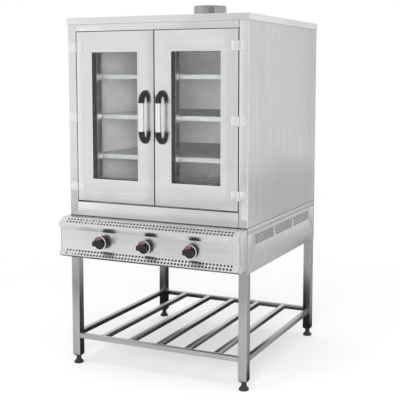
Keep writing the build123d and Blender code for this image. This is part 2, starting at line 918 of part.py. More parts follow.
door_pieces = {
    "door_outer": door_outer(),
    "door_inner": door_inner(),
    "window_seal": window_seal(),
    "window_glass": window_glass(),
    "door_gasket": door_gasket(),
    "handle_bar": handle_bar(),
    "handle_ends": handle_ends(),
    "hinge_leaves": [door_leaf(z) for z in hinge_zs],
}
for name, piece in door_pieces.items():
    save(piece, f"{name}_right")
    if isinstance(piece, list):
        save([mirror_x(one) for one in piece], f"{name}_left")
    else:
        save(mirror_x(piece), f"{name}_left")
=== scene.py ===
# %% [markdown]
# # Electric pastry oven
#
# The oven is a tall steel cabinet with two glazed doors. It stands on a heater base with a bent control
# panel, and the base stands on four square legs with a rack between them. Its inner parts, its hinges and
# its knobs' axes come ready made in the frame, at their real size. This script gives every one of them a
# finish, and models again the pieces that the eye rests on, with the bends, rims and rounded edges that
# sheet metal has.

# %% Load the frame
import json
import math

import bmesh
import bpy
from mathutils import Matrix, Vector

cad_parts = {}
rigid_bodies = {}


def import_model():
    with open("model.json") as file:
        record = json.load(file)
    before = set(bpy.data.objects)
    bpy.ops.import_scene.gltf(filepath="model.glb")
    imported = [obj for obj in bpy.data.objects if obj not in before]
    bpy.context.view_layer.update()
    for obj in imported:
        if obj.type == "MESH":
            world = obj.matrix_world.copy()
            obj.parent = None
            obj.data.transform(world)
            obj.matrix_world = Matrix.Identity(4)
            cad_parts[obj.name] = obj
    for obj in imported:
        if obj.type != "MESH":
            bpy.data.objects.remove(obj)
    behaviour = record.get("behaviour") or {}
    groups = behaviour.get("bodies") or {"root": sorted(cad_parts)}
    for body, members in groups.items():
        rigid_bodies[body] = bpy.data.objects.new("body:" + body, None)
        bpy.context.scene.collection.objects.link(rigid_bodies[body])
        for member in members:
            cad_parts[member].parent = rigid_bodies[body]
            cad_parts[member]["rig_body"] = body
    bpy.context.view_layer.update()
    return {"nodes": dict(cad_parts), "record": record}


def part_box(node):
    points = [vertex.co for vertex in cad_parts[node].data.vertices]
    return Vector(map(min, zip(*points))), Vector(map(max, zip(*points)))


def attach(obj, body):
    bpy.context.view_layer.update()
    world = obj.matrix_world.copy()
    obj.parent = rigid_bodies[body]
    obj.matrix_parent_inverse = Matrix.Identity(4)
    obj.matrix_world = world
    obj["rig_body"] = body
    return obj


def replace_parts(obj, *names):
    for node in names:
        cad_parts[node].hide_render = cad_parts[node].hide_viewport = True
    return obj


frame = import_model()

nodes = frame["nodes"]
MM = 0.001

# %% [markdown]
# ## Camera
#
# The picture was taken from the oven's right, a little above its middle, with a long lens. The lens sits
# level with the upper shelves and looks slightly down. A small shift of the sensor keeps the uprights
# nearly upright, as a photographer of furniture does. More shift would make them quite parallel, but it
# would push the oven out of the frame in every other view, so the tilt does the rest.

# %% Camera
camera_place = Vector((1811, -3760, 1380)) * MM
camera_turn = math.radians(25.3)
camera_tilt = math.radians(-6.0)
camera_lens = 77.2
camera_shift = -0.09

camera_data = bpy.data.cameras.new("camera")
camera_data.lens = camera_lens
camera_data.shift_y = camera_shift
camera = bpy.data.objects.new("camera", camera_data)
camera.location = camera_place
camera.rotation_euler = (math.pi / 2 + camera_tilt, 0, camera_turn)
bpy.context.scene.collection.objects.link(camera)
bpy.context.scene.camera = camera
bpy.context.scene.view_settings.view_transform = "Standard"
print("camera", tuple(round(v, 3) for v in camera.location), "lens", camera_lens)

# %% [markdown]
# ## Studio
#
# Bare steel shows its surroundings more than its own colour, so the studio is part of the finish. The world
# is white for every ray that the eye, a reflection or the glass sends out, and a milder grey for the light
# that falls on dull surfaces. The floor is pale and keeps the oven's shadow. Far from the oven it turns
# into the same white, so that no horizon shows.


# %% Small helpers for node trees
def feed(tree, sockets, values):
    """Sets inputs by name or number; a value that is another node's output is linked."""
    for name, value in values.items():
        if isinstance(value, bpy.types.NodeSocket):
            tree.links.new(value, sockets[name])
        else:
            sockets[name].default_value = value


def add_node(tree, kind, inputs=None, **settings):
    node = tree.nodes.new("ShaderNode" + kind)
    for name, value in settings.items():
        setattr(node, name, value)
    feed(tree, node.inputs, inputs or {})
    return node


def maths(tree, operation, *operands):
    """A Math node; each operand is a number or another node's output."""
    return add_node(tree, "Math", dict(enumerate(operands)), operation=operation).outputs[0]


def seen_ray(tree):
    """One for a ray of the camera, of a reflection or through glass, and nothing for the others."""
    rays = add_node(tree, "LightPath").outputs
    direct = maths(tree, "MAXIMUM", rays["Is Camera Ray"], rays["Is Glossy Ray"])
    return maths(tree, "MAXIMUM", direct, rays["Is Transmission Ray"])


def show(tree, kind, shader):
    """Ends a node tree with its World or Material output."""
    add_node(tree, "Output" + kind, {0: shader.outputs[0]})


# %% World
world_light = 0.8
world = bpy.data.worlds.new("studio")
world.use_nodes = True
bpy.context.scene.world = world
tree = world.node_tree
tree.nodes.clear()
daylight = add_node(tree, "Background", {"Color": (0.97, 0.985, 1.0, 1), "Strength": world_light})
white = add_node(tree, "Background", {"Color": (1, 1, 1, 1)})
choice = {0: seen_ray(tree), 1: daylight.outputs[0], 2: white.outputs[0]}
show(tree, "World", add_node(tree, "MixShader", choice))

# %% Floor
floor_half = 30
floor_near = 0.9
floor_far = 2.6
floor_glow = 0.4

bpy.ops.object.select_all(action="DESELECT")
bpy.ops.mesh.primitive_plane_add(size=2 * floor_half)
floor = bpy.context.object
floor.name = "floor"
floor_paint = bpy.data.materials.new("floor")
floor_paint.use_nodes = True
tree = floor_paint.node_tree
tree.nodes.clear()
dull = add_node(tree, "BsdfDiffuse", {"Color": (0.9, 0.9, 0.9, 1)})
shine = add_node(tree, "Emission")
place = add_node(tree, "TexCoord").outputs["Object"]
distance = add_node(tree, "VectorMath", {0: place}, operation="LENGTH").outputs["Value"]
levels = {"Value": distance, "From Min": floor_near, "From Max": floor_far, "To Min": floor_glow}
away = add_node(tree, "MapRange", levels, interpolation_type="SMOOTHSTEP").outputs["Result"]
share = maths(tree, "MULTIPLY", away, seen_ray(tree))
show(tree, "Material", add_node(tree, "MixShader", {0: share, 1: dull.outputs[0], 2: shine.outputs[0]}))
floor.data.materials.append(floor_paint)


# %% Lamps
def soft_lamp(name, place, aim, size, power):
    """A square soft box that looks at a point on the oven."""
    lamp_data = bpy.data.lights.new(name, "AREA")
    lamp_data.size = size
    lamp_data.energy = power
    lamp = bpy.data.objects.new(name, lamp_data)
    lamp.visible_glossy = False
    lamp.location = place
    lamp.rotation_euler = (Vector(aim) - Vector(place)).to_track_quat("-Z", "Y").to_euler()
    bpy.context.scene.collection.objects.link(lamp)


soft_lamp("key", (-1.6, -2.6, 4.4), (0, 0, 0.6), 2.4, 45)
soft_lamp("front", (1.6, -4.2, 1.5), (-0.1, 0, 1.2), 1.6, 185)
soft_lamp("fill", (3.0, -1.6, 3.6), (0, 0, 0.6), 2.4, 20)
soft_lamp("top", (0.0, 1.2, 4.6), (0, 0, 0.6), 2.6, 35)

# %% [markdown]
# Photographers set grey and black cards round bright metal, out of the picture, so that its faces and edges
# stand out against something. The cards here have an even tone and only reflections see them. Two lie under
# and behind the oven and darken the sides of the rack and the left legs and the panel's lower lip. Six are
# pale and grade the front, the right side and the right legs. One stands high up behind the camera, where
# only the flue's round wall mirrors it, and a bright one at the left gives the windows' beads and the
# handles their white line.


# %% Cards
def card(name, place, size, grey, turn=(0, 0, 0)):
    bpy.ops.object.select_all(action="DESELECT")
    radians = [math.radians(angle) for angle in turn]
    bpy.ops.mesh.primitive_plane_add(size=1, location=place, rotation=radians)
    sheet_card = bpy.context.object
    sheet_card.name = name
    bpy.ops.transform.resize(value=(*size, 1), orient_type="LOCAL")
    paint = bpy.data.materials.new(name)
    paint.use_nodes = True
    tree = paint.node_tree
    tree.nodes.clear()
    show(tree, "Material", add_node(tree, "Emission", {"Color": (grey, grey, grey, 1)}))
    sheet_card.data.materials.append(paint)
    for ray in ("camera", "diffuse", "shadow", "transmission"):
        setattr(sheet_card, "visible_" + ray, False)


card("card_under", (-0.22, 0.79, 0.003), (1.55, 2.42), 0.02)
card("card_behind", (0.62, 2.3, 0.003), (0.7, 1.4), 0.3)
card("card_left_floor", (-1.15, -1.75, 0.003), (1.5, 1.1), 0.6)
card("card_right_near", (0.95, 0.9, 0.004), (0.75, 2.4), 0.6)
card("card_right_floor", (2.0, 4.0, 0.003), (2.6, 5.6), 0.64)
card("card_front_floor", (-0.4, -3.3, 0.003), (1.6, 2.6), 0.7)
card("card_front", (-0.3, -5.2, 2.0), (3.0, 3.6), 0.84, (90, 0, 0))
card("card_right_back", (1.5, 12, 2.5), (7, 5), 0.84, (90, 0, 0))
card("card_camera", (2.85, -4.1, 2.15), (3.9, 0.6), 0.25, (90, 0, 35))
card("card_left", (-4.3, -3.2, 1.0), (1.5, 2.4), 1.25, (90, 0, -55))

# %% [markdown]
# ## Shared effects
#
# Every steel finish here is the same metal treated in a different way: brushed along another direction,
# more or less polished, more or less handled. So the effects are node groups, each built once and placed in
# the materials with its own values. They give masks and normals only, and the shader itself stays in the
# material.


# %% A new group with named sockets
FLOAT = "NodeSocketFloat"
VECTOR = "NodeSocketVector"


def new_group(name, inputs, outputs):
    group = bpy.data.node_groups.new(name, "ShaderNodeTree")
    for title, value in inputs.items():
        kind = VECTOR if isinstance(value, tuple) else FLOAT
        group.interface.new_socket(title, in_out="INPUT", socket_type=kind).default_value = value
    for title, kind in outputs.items():
        group.interface.new_socket(title, in_out="OUTPUT", socket_type=kind)
    entry = group.nodes.new("NodeGroupInput").outputs
    return group, entry, group.nodes.new("NodeGroupOutput").inputs


def noise(tree, place, scale, detail, roughness=0.5):
    """A Noise texture at a place that other nodes give."""
    values = {"Vector": place, "Scale": scale, "Detail": detail, "Roughness": roughness}
    return add_node(tree, "TexNoise", values).outputs["Fac"]


def ramp(tree, value, low, high):
    """Spreads a value between two levels softly over nothing to one."""
    levels = {"Value": value, "From Min": low, "From Max": high}
    return add_node(tree, "MapRange", levels, interpolation_type="SMOOTHSTEP").outputs["Result"]


def vector_maths(tree, operation, output, inputs):
    return add_node(tree, "VectorMath", inputs, operation=operation).outputs[output]


def own_place(tree):
    """The place on the object itself, so that an effect moves with its piece."""
    return add_node(tree, "TexCoord").outputs["Object"]


# %% Brushed grain
masks = {"Grain": FLOAT, "Streak": FLOAT}
grain_group, entry, result = new_group("brushed grain", {"Stretch": (1, 1, 1)}, masks)
tree = grain_group
along = vector_maths(tree, "MULTIPLY", "Vector", {0: own_place(tree), 1: entry["Stretch"]})
streak = ramp(tree, noise(tree, along, 46, 3, 0.6), 0.3, 0.7)
feed(tree, result, {"Grain": noise(tree, along, 620, 2), "Streak": streak})

# %% Rounded edges: a mask for worn edges and for painted highlights
edge_wear_and_highlight_group, entry, result = new_group("worn and highlighted edges", {"Radius": 0.001}, {"Edge": FLOAT, "Normal": VECTOR})
tree = edge_wear_and_highlight_group
rounded = add_node(tree, "Bevel", {"Radius": entry["Radius"]}, samples=4).outputs["Normal"]
flat = add_node(tree, "NewGeometry").outputs["Normal"]
bent = maths(tree, "SUBTRACT", 1.0, vector_maths(tree, "DOT_PRODUCT", "Value", {0: rounded, 1: flat}))
feed(tree, result, {"Edge": ramp(tree, bent, 0.01, 0.2), "Normal": rounded})

# %% Handling marks and waves in the sheet
marks_group, entry, result = new_group("handling marks", {"Size": 1.0}, {"Marks": FLOAT, "Waves": FLOAT})
tree = marks_group
scaled = vector_maths(tree, "SCALE", "Vector", {0: own_place(tree), "Scale": entry["Size"]})
smears = ramp(tree, noise(tree, scaled, 9, 5, 0.65), 0.45, 0.72)
feed(tree, result, {"Marks": smears, "Waves": noise(tree, scaled, 4.5, 1)})

# %% Settled dust
dust_group, entry, result = new_group("settled dust", {"Amount": 0.3}, {"Dust": FLOAT})
tree = dust_group
upward = add_node(tree, "SeparateXYZ", {0: add_node(tree, "NewGeometry").outputs["Normal"]}).outputs["Z"]
patches = ramp(tree, noise(tree, own_place(tree), 14, 6, 0.7), 0.3, 0.75)
cover = maths(tree, "MULTIPLY", ramp(tree, upward, 0.5, 1.0), patches)
feed(tree, result, {"Dust": maths(tree, "MULTIPLY", cover, entry["Amount"])})
print("groups", [g.name for g in bpy.data.node_groups])

# %% [markdown]
# ## Finishes
#
# A flat grey with a gloss would look like paint. Brushed steel has fine parallel scratches that spread its
# reflections, faint streaks where the belt pressed harder, a rounded edge at every bend, dull smears where
# hands were, and long shallow waves in large sheets. Along the rounded edges a painted highlight brightens
# the colour. One function makes all the steels from those effects, and the sizes of grain and marks are
# real ones.


# %% The materials' common parts
finishes = {}


def place_group(tree, group, **values):
    return add_node(tree, "Group", values, node_tree=group).outputs


def new_finish(name):
    """A material with a Principled shader, kept in the finishes under its name."""
    material = bpy.data.materials.new(name)
    material.use_nodes = True
    finishes[name] = material
    return material.node_tree, material.node_tree.nodes["Principled BSDF"].inputs


def tint(tree, base, change, amount):
    """Mixes a second colour over a first one by a mask; the first is a colour or another node's output."""
    first = base if isinstance(base, bpy.types.NodeSocket) else (*base, 1)
    colours = {"Factor": amount, "A": first, "B": (*change, 1)}
    return add_node(tree, "Mix", colours, data_type="RGBA").outputs["Result"]


def span(tree, mask, low, high):
    """Turns a mask into a value between two levels."""
    return add_node(tree, "MapRange", {"Value": mask, "To Min": low, "To Max": high}).outputs["Result"]


def relief(tree, height, distance, strength, **under):
    """A Bump node, over a rounded Normal where one is given."""
    values = {"Height": height, "Distance": distance, "Strength": strength, **under}
    return add_node(tree, "Bump", values).outputs["Normal"]


# %% Steel
LEVEL = (0.03, 0.03, 1.0)
UPRIGHT = (1.0, 1.0, 0.03)
INWARD = (1.0, 0.03, 1.0)


def steel(name, colour, roughness, brushed, wave=0.25, dust=0.0, marks=0.5, drawn=0.6, metallic=1.0):
    """brushed is the grain's direction, and drawn is how far the grain smears reflections across it."""
    tree, shader = new_finish(name)
    grain = place_group(tree, grain_group, Stretch=brushed)
    edges = place_group(tree, edge_wear_and_highlight_group, Radius=0.8 * MM)
    handled = place_group(tree, marks_group, Size=1.0)
    shares = (0.86, 0.92, 1.18)
    darker, smeared, brighter = ([min(1.0, channel * share) for channel in colour] for share in shares)
    streaked = tint(tree, colour, darker, maths(tree, "MULTIPLY", grain["Streak"], 0.14))
    soiled = tint(tree, streaked, smeared, maths(tree, "MULTIPLY", handled["Marks"], marks))
    # Painted highlight: along every rounded edge the colour is made brighter, for the light that a bend
    # catches.
    edge_lit_colour = tint(tree, soiled, brighter, edges["Edge"])
    if dust:
        settled = place_group(tree, dust_group, Amount=dust)
        edge_lit_colour = tint(tree, edge_lit_colour, (0.52, 0.5, 0.47), settled["Dust"])
    dulled = maths(tree, "MULTIPLY_ADD", handled["Marks"], marks, grain["Streak"])
    waved = relief(tree, handled["Waves"], 3 * MM, wave, Normal=edges["Normal"])
    values = {
        "Base Color": edge_lit_colour,
        "Metallic": metallic,
        "Roughness": span(tree, dulled, roughness * 0.85, roughness * 1.3),
        "Normal": relief(tree, grain["Grain"], 0.06 * MM, 0.35, Normal=waved),
        "Tangent": add_node(tree, "Tangent", direction_type="RADIAL", axis="Z").outputs[0],
        "Anisotropic": drawn,
        "Anisotropic Rotation": 0.0 if brushed == UPRIGHT else 0.25,
    }
    feed(tree, shader, values)


steel("brushed_steel", (0.62, 0.63, 0.63), 0.3, UPRIGHT, marks=0.4)
steel("door_steel", (0.73, 0.74, 0.74), 0.2, LEVEL, marks=0.4, wave=0.12)
steel("panel_steel", (0.7, 0.7, 0.7), 0.26, LEVEL, marks=0.3, wave=0.12, drawn=0.3)
# The stand's steels are far darker in colour than the cabinet's. This is partly painted shade, for the
# stand stands in the shade under the oven.
steel("stand_steel", (0.41, 0.42, 0.42), 0.3, UPRIGHT, dust=0.15)
steel("cross_rail_steel", (0.41, 0.42, 0.42), 0.28, LEVEL, wave=0.05, marks=0.3, drawn=0.0)
steel("side_rail_steel", (0.41, 0.42, 0.42), 0.28, INWARD, wave=0.05, marks=0.3, drawn=0.0)
steel("slat_steel", (0.6, 0.61, 0.61), 0.28, INWARD, wave=0.05, marks=0.3, drawn=0.0)
# The liner is near-white and no metal, brighter than bare steel: painted light that brightens the chamber
# behind the glass.
steel("liner_steel", (0.92, 0.92, 0.91), 0.5, LEVEL, marks=0.3, metallic=0.0)
steel("shelf_steel", (0.45, 0.45, 0.45), 0.4, LEVEL, marks=0.3, metallic=0.3)
steel("plug_steel", (0.75, 0.75, 0.75), 0.3, LEVEL, marks=0.4, wave=0.12)
steel("bright_steel", (0.86, 0.86, 0.87), 0.1, UPRIGHT, wave=0.03, marks=0.2, drawn=0.3)
steel("trim_steel", (0.74, 0.75, 0.75), 0.12, UPRIGHT, wave=0.03, marks=0.2, drawn=0.2)
steel("hinge_steel", (0.8, 0.81, 0.81), 0.16, UPRIGHT, wave=0.05, marks=0.2, drawn=0.3)
steel("flue_steel", (0.36, 0.37, 0.37), 0.16, UPRIGHT, wave=0.06, marks=0.2, drawn=0.0)


# %% [markdown]
# The plastics are moulded: a fine pebble from the mould's surface, a slightly glossier rub on every edge
# that fingers touch, and no metal at all. Rubber is the same without gloss.


# %% Plastics and rubber
def moulded(name, colour, roughness, pebble, rubbed, gloss=0.5):
    """pebble is the size of the mould's texture in millimetres; rubbed is the colour of a worn edge."""
    tree, shader = new_finish(name)
    cells = add_node(tree, "TexVoronoi", {"Vector": own_place(tree), "Scale": 1 / (pebble * MM)})
    edges = place_group(tree, edge_wear_and_highlight_group, Radius=0.6 * MM)
    marks = place_group(tree, marks_group, Size=4.0)["Marks"]
    worn = tint(tree, colour, rubbed, maths(tree, "MULTIPLY", edges["Edge"], 0.6))
    values = {
        "Base Color": tint(tree, worn, rubbed, maths(tree, "MULTIPLY", marks, 0.15)),
        "Roughness": span(tree, marks, roughness, roughness * 1.35),
        "Normal": relief(tree, cells.outputs["Distance"], 0.08 * MM, 0.4, Normal=edges["Normal"]),
        "Specular IOR Level": gloss,
    }
    feed(tree, shader, values)


moulded("black_plastic", (0.009, 0.009, 0.01), 0.36, 0.9, (0.04, 0.04, 0.042), 0.3)
moulded("foot_plastic", (0.014, 0.014, 0.014), 0.42, 1.1, (0.05, 0.05, 0.05))
moulded("switch_plastic", (0.05, 0.05, 0.055), 0.5, 0.8, (0.1, 0.1, 0.1))
moulded("seal_rubber", (0.014, 0.014, 0.014), 0.72, 0.6, (0.03, 0.03, 0.03))
moulded("terminal_ceramic", (0.78, 0.75, 0.68), 0.22, 1.5, (0.85, 0.83, 0.78))
moulded("magnet", (0.06, 0.06, 0.06), 0.55, 0.5, (0.16, 0.16, 0.16))
moulded("heater_rod", (0.8, 0.79, 0.77), 0.55, 0.7, (0.85, 0.84, 0.82))

# %% [markdown]
# Mineral wool is a felt of pale yellow fibres. It is sealed in the walls, so two scales of noise for its
# tufts are enough.

# %% Mineral wool
tree, shader = new_finish("insulation_wool")
tufts = noise(tree, own_place(tree), 60, 8, 0.75)
wool_colour = tint(tree, (0.6, 0.52, 0.28), (0.74, 0.68, 0.46), tufts)
wool_relief = relief(tree, tufts, 2 * MM, 0.8)
wool_roughness = span(tree, tufts, 0.8, 1.0)
feed(tree, shader, {"Base Color": wool_colour, "Roughness": wool_roughness, "Normal": wool_relief})

# %% [markdown]
# Window glass is clear, with a faint green cast and a film of grease that dulls it in patches. Real panes
# let light through, but a path tracer finds no lamp behind bent light. So for shadow rays the pane counts
# as clear, and the chamber is lit as it would be.

# %% Window glass
tree, shader = new_finish("window_glass")
film = place_group(tree, marks_group, Size=2.0)["Marks"]
cast = tint(tree, (0.96, 0.97, 0.965), (0.91, 0.92, 0.915), film)
feed(tree, shader, {"Base Color": cast, "Roughness": span(tree, film, 0.01, 0.05)})
feed(tree, shader, {"Transmission Weight": 1.0, "IOR": 1.3, "Specular IOR Level": 0.2})
clear = add_node(tree, "BsdfTransparent", {"Color": (0.98, 0.985, 0.98, 1)}).outputs[0]
rays = add_node(tree, "LightPath").outputs
unseen = maths(tree, "MAXIMUM", rays["Is Shadow Ray"], rays["Is Diffuse Ray"])
pane = add_node(tree, "MixShader", {0: unseen, 1: tree.nodes["Principled BSDF"].outputs[0], 2: clear})
feed(tree, tree.nodes["Material Output"].inputs, {"Surface": pane.outputs[0]})

# %% [markdown]
# The scale on each knob's rim is a dull brownish red enamel. It is even, and only its thickness varies a
# little.

# %% Scale enamel
moulded("scale_enamel", (0.16, 0.08, 0.075), 0.3, 1.5, (0.26, 0.17, 0.165))

# %% Every node gets its slot's finish, except the doors' inner parts, which get plug steel
for subpart in frame["record"]["subparts"]:
    inner_door = subpart["node"].startswith("door_inner")
    for material_slot in nodes[subpart["node"]].material_slots:
        material_slot.material = finishes["plug_steel" if inner_door else subpart["material_slot"]]
print("finishes", sorted(finishes))

# %% [markdown]
# ## Modelling helpers
#
# Blender's operators act on whatever is selected, and the imported nodes come in selected. So each helper
# clears the selection first. Faces, edges and vertices are then picked by where they are or which way they
# face, as a hand would do with the mouse. Every piece is built at its real place, and its object stays at
# the origin.


# %% Selecting and editing
X, Y, Z = 0, 1, 2
UPWARD = (0, 0, 1)
FORWARD = (0, -1, 0)
BACKWARD = (0, 1, 0)
SLACK = 0.01 * MM
FACING = 0.9


def clear_selection():
    bpy.ops.object.select_all(action="DESELECT")


def only(piece):
    """Makes a piece the only selected one."""
    clear_selection()
    piece.select_set(True)
    bpy.context.view_layer.objects.active = piece


def open_mesh(piece):
    only(piece)
    bpy.ops.object.mode_set(mode="EDIT")


def close_mesh():
    bpy.ops.object.mode_set(mode="OBJECT")


def take_all():
    """In edit mode, selects the whole mesh."""
    bpy.ops.mesh.select_all(action="SELECT")


def middle(element):
    """The middle of a face or an edge; for a vertex, its place."""
    corners = getattr(element, "verts", [element])
    return sum((corner.co for corner in corners), Vector()) / len(corners)


def pick(kind, test):
    """In edit mode, selects the faces, edges or vertices that pass a test."""
    bpy.ops.mesh.select_mode(type=kind)
    bpy.ops.mesh.select_all(action="DESELECT")
    mesh = bmesh.from_edit_mesh(bpy.context.edit_object.data)
    for element in {"FACE": mesh.faces, "EDGE": mesh.edges, "VERT": mesh.verts}[kind]:
        if test(element):
            element.select_set(True)
    mesh.select_flush_mode()
    bmesh.update_edit_mesh(bpy.context.edit_object.data)


def at(element, axis, place):
    """Whether the middle of an element lies at a place along an axis."""
    return abs(middle(element)[axis] - place) < SLACK


def runs(edge, axis):
    """Whether an edge runs along an axis."""
    step = edge.verts[0].co - edge.verts[1].co
    return abs(step[axis]) > 0.999 * step.length


def facing(axis, way):
    """A test for faces that look one way along an axis."""
    return lambda face: face.normal[axis] * way > FACING


def delete_faces(test):
    pick("FACE", test)
    bpy.ops.mesh.delete(type="FACE")


def push(*offset):
    """Extrudes the selected faces by an offset."""
    bpy.ops.mesh.extrude_region_move(TRANSFORM_OT_translate={"value": offset})


def one_way(axis, amount):
    """A vector of an amount along an axis."""
    vector = Vector()
    vector[axis] = amount
    return vector


def cut(axis, place, clear_above=False, clear_below=False):
    """Bisects the selected faces across an axis, and may take away what lies on one side."""
    sides = {"clear_outer": clear_above, "clear_inner": clear_below, "use_fill": clear_above or clear_below}
    bpy.ops.mesh.bisect(plane_co=one_way(axis, place), plane_no=one_way(axis, 1), **sides)


def round_edges(radius, segments=3):
    """Rounds the selected edges."""
    bpy.ops.mesh.bevel(offset=radius, segments=segments, affect="EDGES")


def round_off(piece, test, radius, segments=4):
    """Rounds those edges of a piece that pass a test."""
    open_mesh(piece)
    pick("EDGE", test)
    round_edges(radius, segments)
    close_mesh()
    return piece


def weld():
    """Merges corners that meet, turns all faces outward and closes the mesh."""
    take_all()
    bpy.ops.mesh.remove_doubles(threshold=SLACK)
    bpy.ops.mesh.normals_make_consistent(inside=False)
    close_mesh()


# %% Modifiers
def modify(piece, kind, **settings):
    """Adds a modifier with its settings and applies it."""
    only(piece)
    modifier = piece.modifiers.new(kind, kind)
    for name, value in settings.items():
        setattr(modifier, name, value)
    bpy.ops.object.modifier_apply(modifier=modifier.name)
    return piece


def give_wall(piece, wall):
    """Thickens a sheet towards its inner side."""
    return modify(piece, "SOLIDIFY", thickness=wall, offset=-1, use_even_offset=True)


def repeated(piece, *steps):
    """Repeats a piece a number of times along an offset, then the whole row along the next one."""
    measured = {"use_relative_offset": False, "use_constant_offset": True}
    for amount, offset in steps:
        modify(piece, "ARRAY", count=amount, constant_offset_displace=offset, **measured)
    return piece


def soften(piece, width=0.25 * MM, segments=2):
    """Takes the sharpness off every edge that turns by more than half a right angle."""
    limit = {"limit_method": "ANGLE", "angle_limit": math.radians(46)}
    return modify(piece, "BEVEL", width=width, segments=segments, **limit)


def cut_away(piece, tool):
    """Subtracts a tool from a piece and deletes the tool."""
    modify(piece, "BOOLEAN", object=tool, operation="DIFFERENCE", solver="EXACT")
    bpy.data.objects.remove(tool)
    return piece


# %% Starting shapes
def base_point(low, high):
    """The middle of a box's lower face."""
    return Vector(((low.x + high.x) / 2, (low.y + high.y) / 2, low.z))


def finished(name):
    """Names the active object and moves its place, turn and scale into its mesh."""
    piece = bpy.context.object
    piece.name = name
    bpy.ops.object.transform_apply(location=True, rotation=True, scale=True)
    return piece


def new_block(name, low, high):
    """A block from its lowest to its highest corner, to be shaped further."""
    size = Vector(high) - Vector(low)
    clear_selection()
    bpy.ops.mesh.primitive_cube_add(size=1, location=Vector(low) + size / 2, scale=size)
    return finished(name)


def new_cylinder(name, place, radius, depth, turn=(0, 0, 0), sides=72):
    """A round tool or disc; unturned, it stands upright."""
    clear_selection()
    size = {"vertices": sides, "radius": radius, "depth": depth}
    bpy.ops.mesh.primitive_cylinder_add(location=place, rotation=turn, **size)
    return finished(name)


def draw_line(name, points, roundings=(), closed=False):
    """Extrudes a vertex from point to point, rounds the corners, and leaves the line open for editing."""
    clear_selection()
    bpy.ops.mesh.primitive_plane_add(size=1)
    line = bpy.context.object
    line.name = name
    bpy.ops.object.mode_set(mode="EDIT")
    bpy.ops.mesh.select_mode(type="VERT")
    take_all()
    bpy.ops.mesh.merge(type="CENTER")
    bpy.ops.transform.translate(value=points[0])
    for start, end in zip(points, points[1:]):
        bpy.ops.mesh.extrude_vertices_move(TRANSFORM_OT_translate={"value": end - start})
    if closed:
        pick("VERT", lambda vertex: min((vertex.co - p).length for p in (points[0], points[-1])) < SLACK)
        bpy.ops.mesh.edge_face_add()
    for point, rounding in zip(points, roundings):
        if rounding:
            pick("VERT", lambda vertex: (vertex.co - point).length < SLACK)
            bpy.ops.mesh.bevel(offset=rounding, segments=4, affect="VERTICES")
    return line


def draw_face(name, points):
    """A closed outline filled with one face, left open for editing."""
    piece = draw_line(name, points, closed=True)
    take_all()
    bpy.ops.mesh.edge_face_add()
    return piece


def turned(name, centre, axis, outline, closed=False, steps=72):
    """Spins an outline of (radius, height, rounding) points, in millimetres, round an axis."""
    axis = Vector(axis)
    side = axis.orthogonal().normalized()
    points = [Vector(centre) + (side * radius + axis * height) * MM for radius, height, rounding in outline]
    piece = draw_line(name, points, [rounding * MM for radius, height, rounding in outline], closed)
    take_all()
    bpy.ops.mesh.spin(steps=steps, angle=2 * math.pi, center=centre, axis=axis)
    weld()
    return piece


def folded(name, run, start, end, outline, wall, bend=2 * MM, wall_on_left=True):
    """A sheet folded to an outline and run along an axis; the outline is its outer side."""
    across, up = [axis for axis in (X, Y, Z) if axis != run]
    points = [one_way(run, start) + one_way(across, a) + one_way(up, b) for a, b in outline]
    piece = draw_line(name, points, [0] + [bend] * (len(points) - 2))
    take_all()
    length = one_way(run, end - start)
    bpy.ops.mesh.extrude_edges_move(TRANSFORM_OT_translate={"value": length})
    take_all()
    bpy.ops.mesh.normals_make_consistent(inside=False)
    step = points[1] - points[0]
    outer = one_way(across, step[up]) - one_way(up, step[across])
    halfway = (points[0] + points[1] + length) / 2
    mesh = bmesh.from_edit_mesh(piece.data)
    first = min(mesh.faces, key=lambda face: (middle(face) - halfway).length)
    if (first.normal.dot(outer) > 0) != wall_on_left:
        bpy.ops.mesh.flip_normals()
    close_mesh()
    return soften(give_wall(piece, wall))


def square_tube(name, run, low, high, wall, corner):
    """A tube of square section with rounded corners, open at its ends."""
    tube = new_block(name, low, high)
    open_mesh(tube)
    delete_faces(lambda face: abs(face.normal[run]) > FACING)
    pick("EDGE", lambda edge: runs(edge, run))
    round_edges(corner, 4)
    close_mesh()
    return soften(give_wall(tube, wall))


# %% Copies and joins
def copy_of(piece, name, offset=(0, 0, 0)):
    """A copy with its own mesh, moved by an offset."""
    only(piece)
    bpy.ops.object.duplicate()
    bpy.ops.transform.translate(value=offset)
    return finished(name)


def mirrored(piece, name):
    """The same piece on the oven's other side, with its faces turned outward again."""
    twin = copy_of(piece, name)
    open_mesh(twin)
    take_all()
    bpy.ops.transform.resize(value=(-1, 1, 1), center_override=(0, 0, 0))
    bpy.ops.mesh.normals_make_consistent(inside=False)
    close_mesh()
    return twin


def joined(name, *pieces):
    """Several shapes made one piece."""
    only(pieces[0])
    for piece in pieces[1:]:
        piece.select_set(True)
    bpy.ops.object.join()
    bpy.context.object.name = name
    return bpy.context.object


# %% Settling a finished piece
slot_of = {subpart["node"]: subpart["material_slot"] for subpart in frame["record"]["subparts"]}


def settle(piece, node, slot=None, finish=None):
    """Shades a piece, gives it its slot's finish or another one, and makes it move with a node's body."""
    only(piece)
    bpy.ops.object.shade_smooth_by_angle(angle=math.radians(35))
    slot = slot or slot_of[node]
    piece.data.materials.clear()
    piece.data.materials.append(finishes[finish or slot])
    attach(piece, nodes[node]["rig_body"])
    return piece


def stand_for(piece, node, slot=None, finish=None):
    """Settles a piece and shows it in place of a node."""
    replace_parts(settle(piece, node, slot, finish), node)


def both_sides(put, piece, node, slot=None, finish=None):
    """Puts a right-hand piece and its mirror image in; the left names follow from the right ones."""
    twin = mirrored(piece, piece.name.replace("right", "left"))
    put(twin, node.replace("right", "left"), slot, finish)
    put(piece, node, slot, finish)


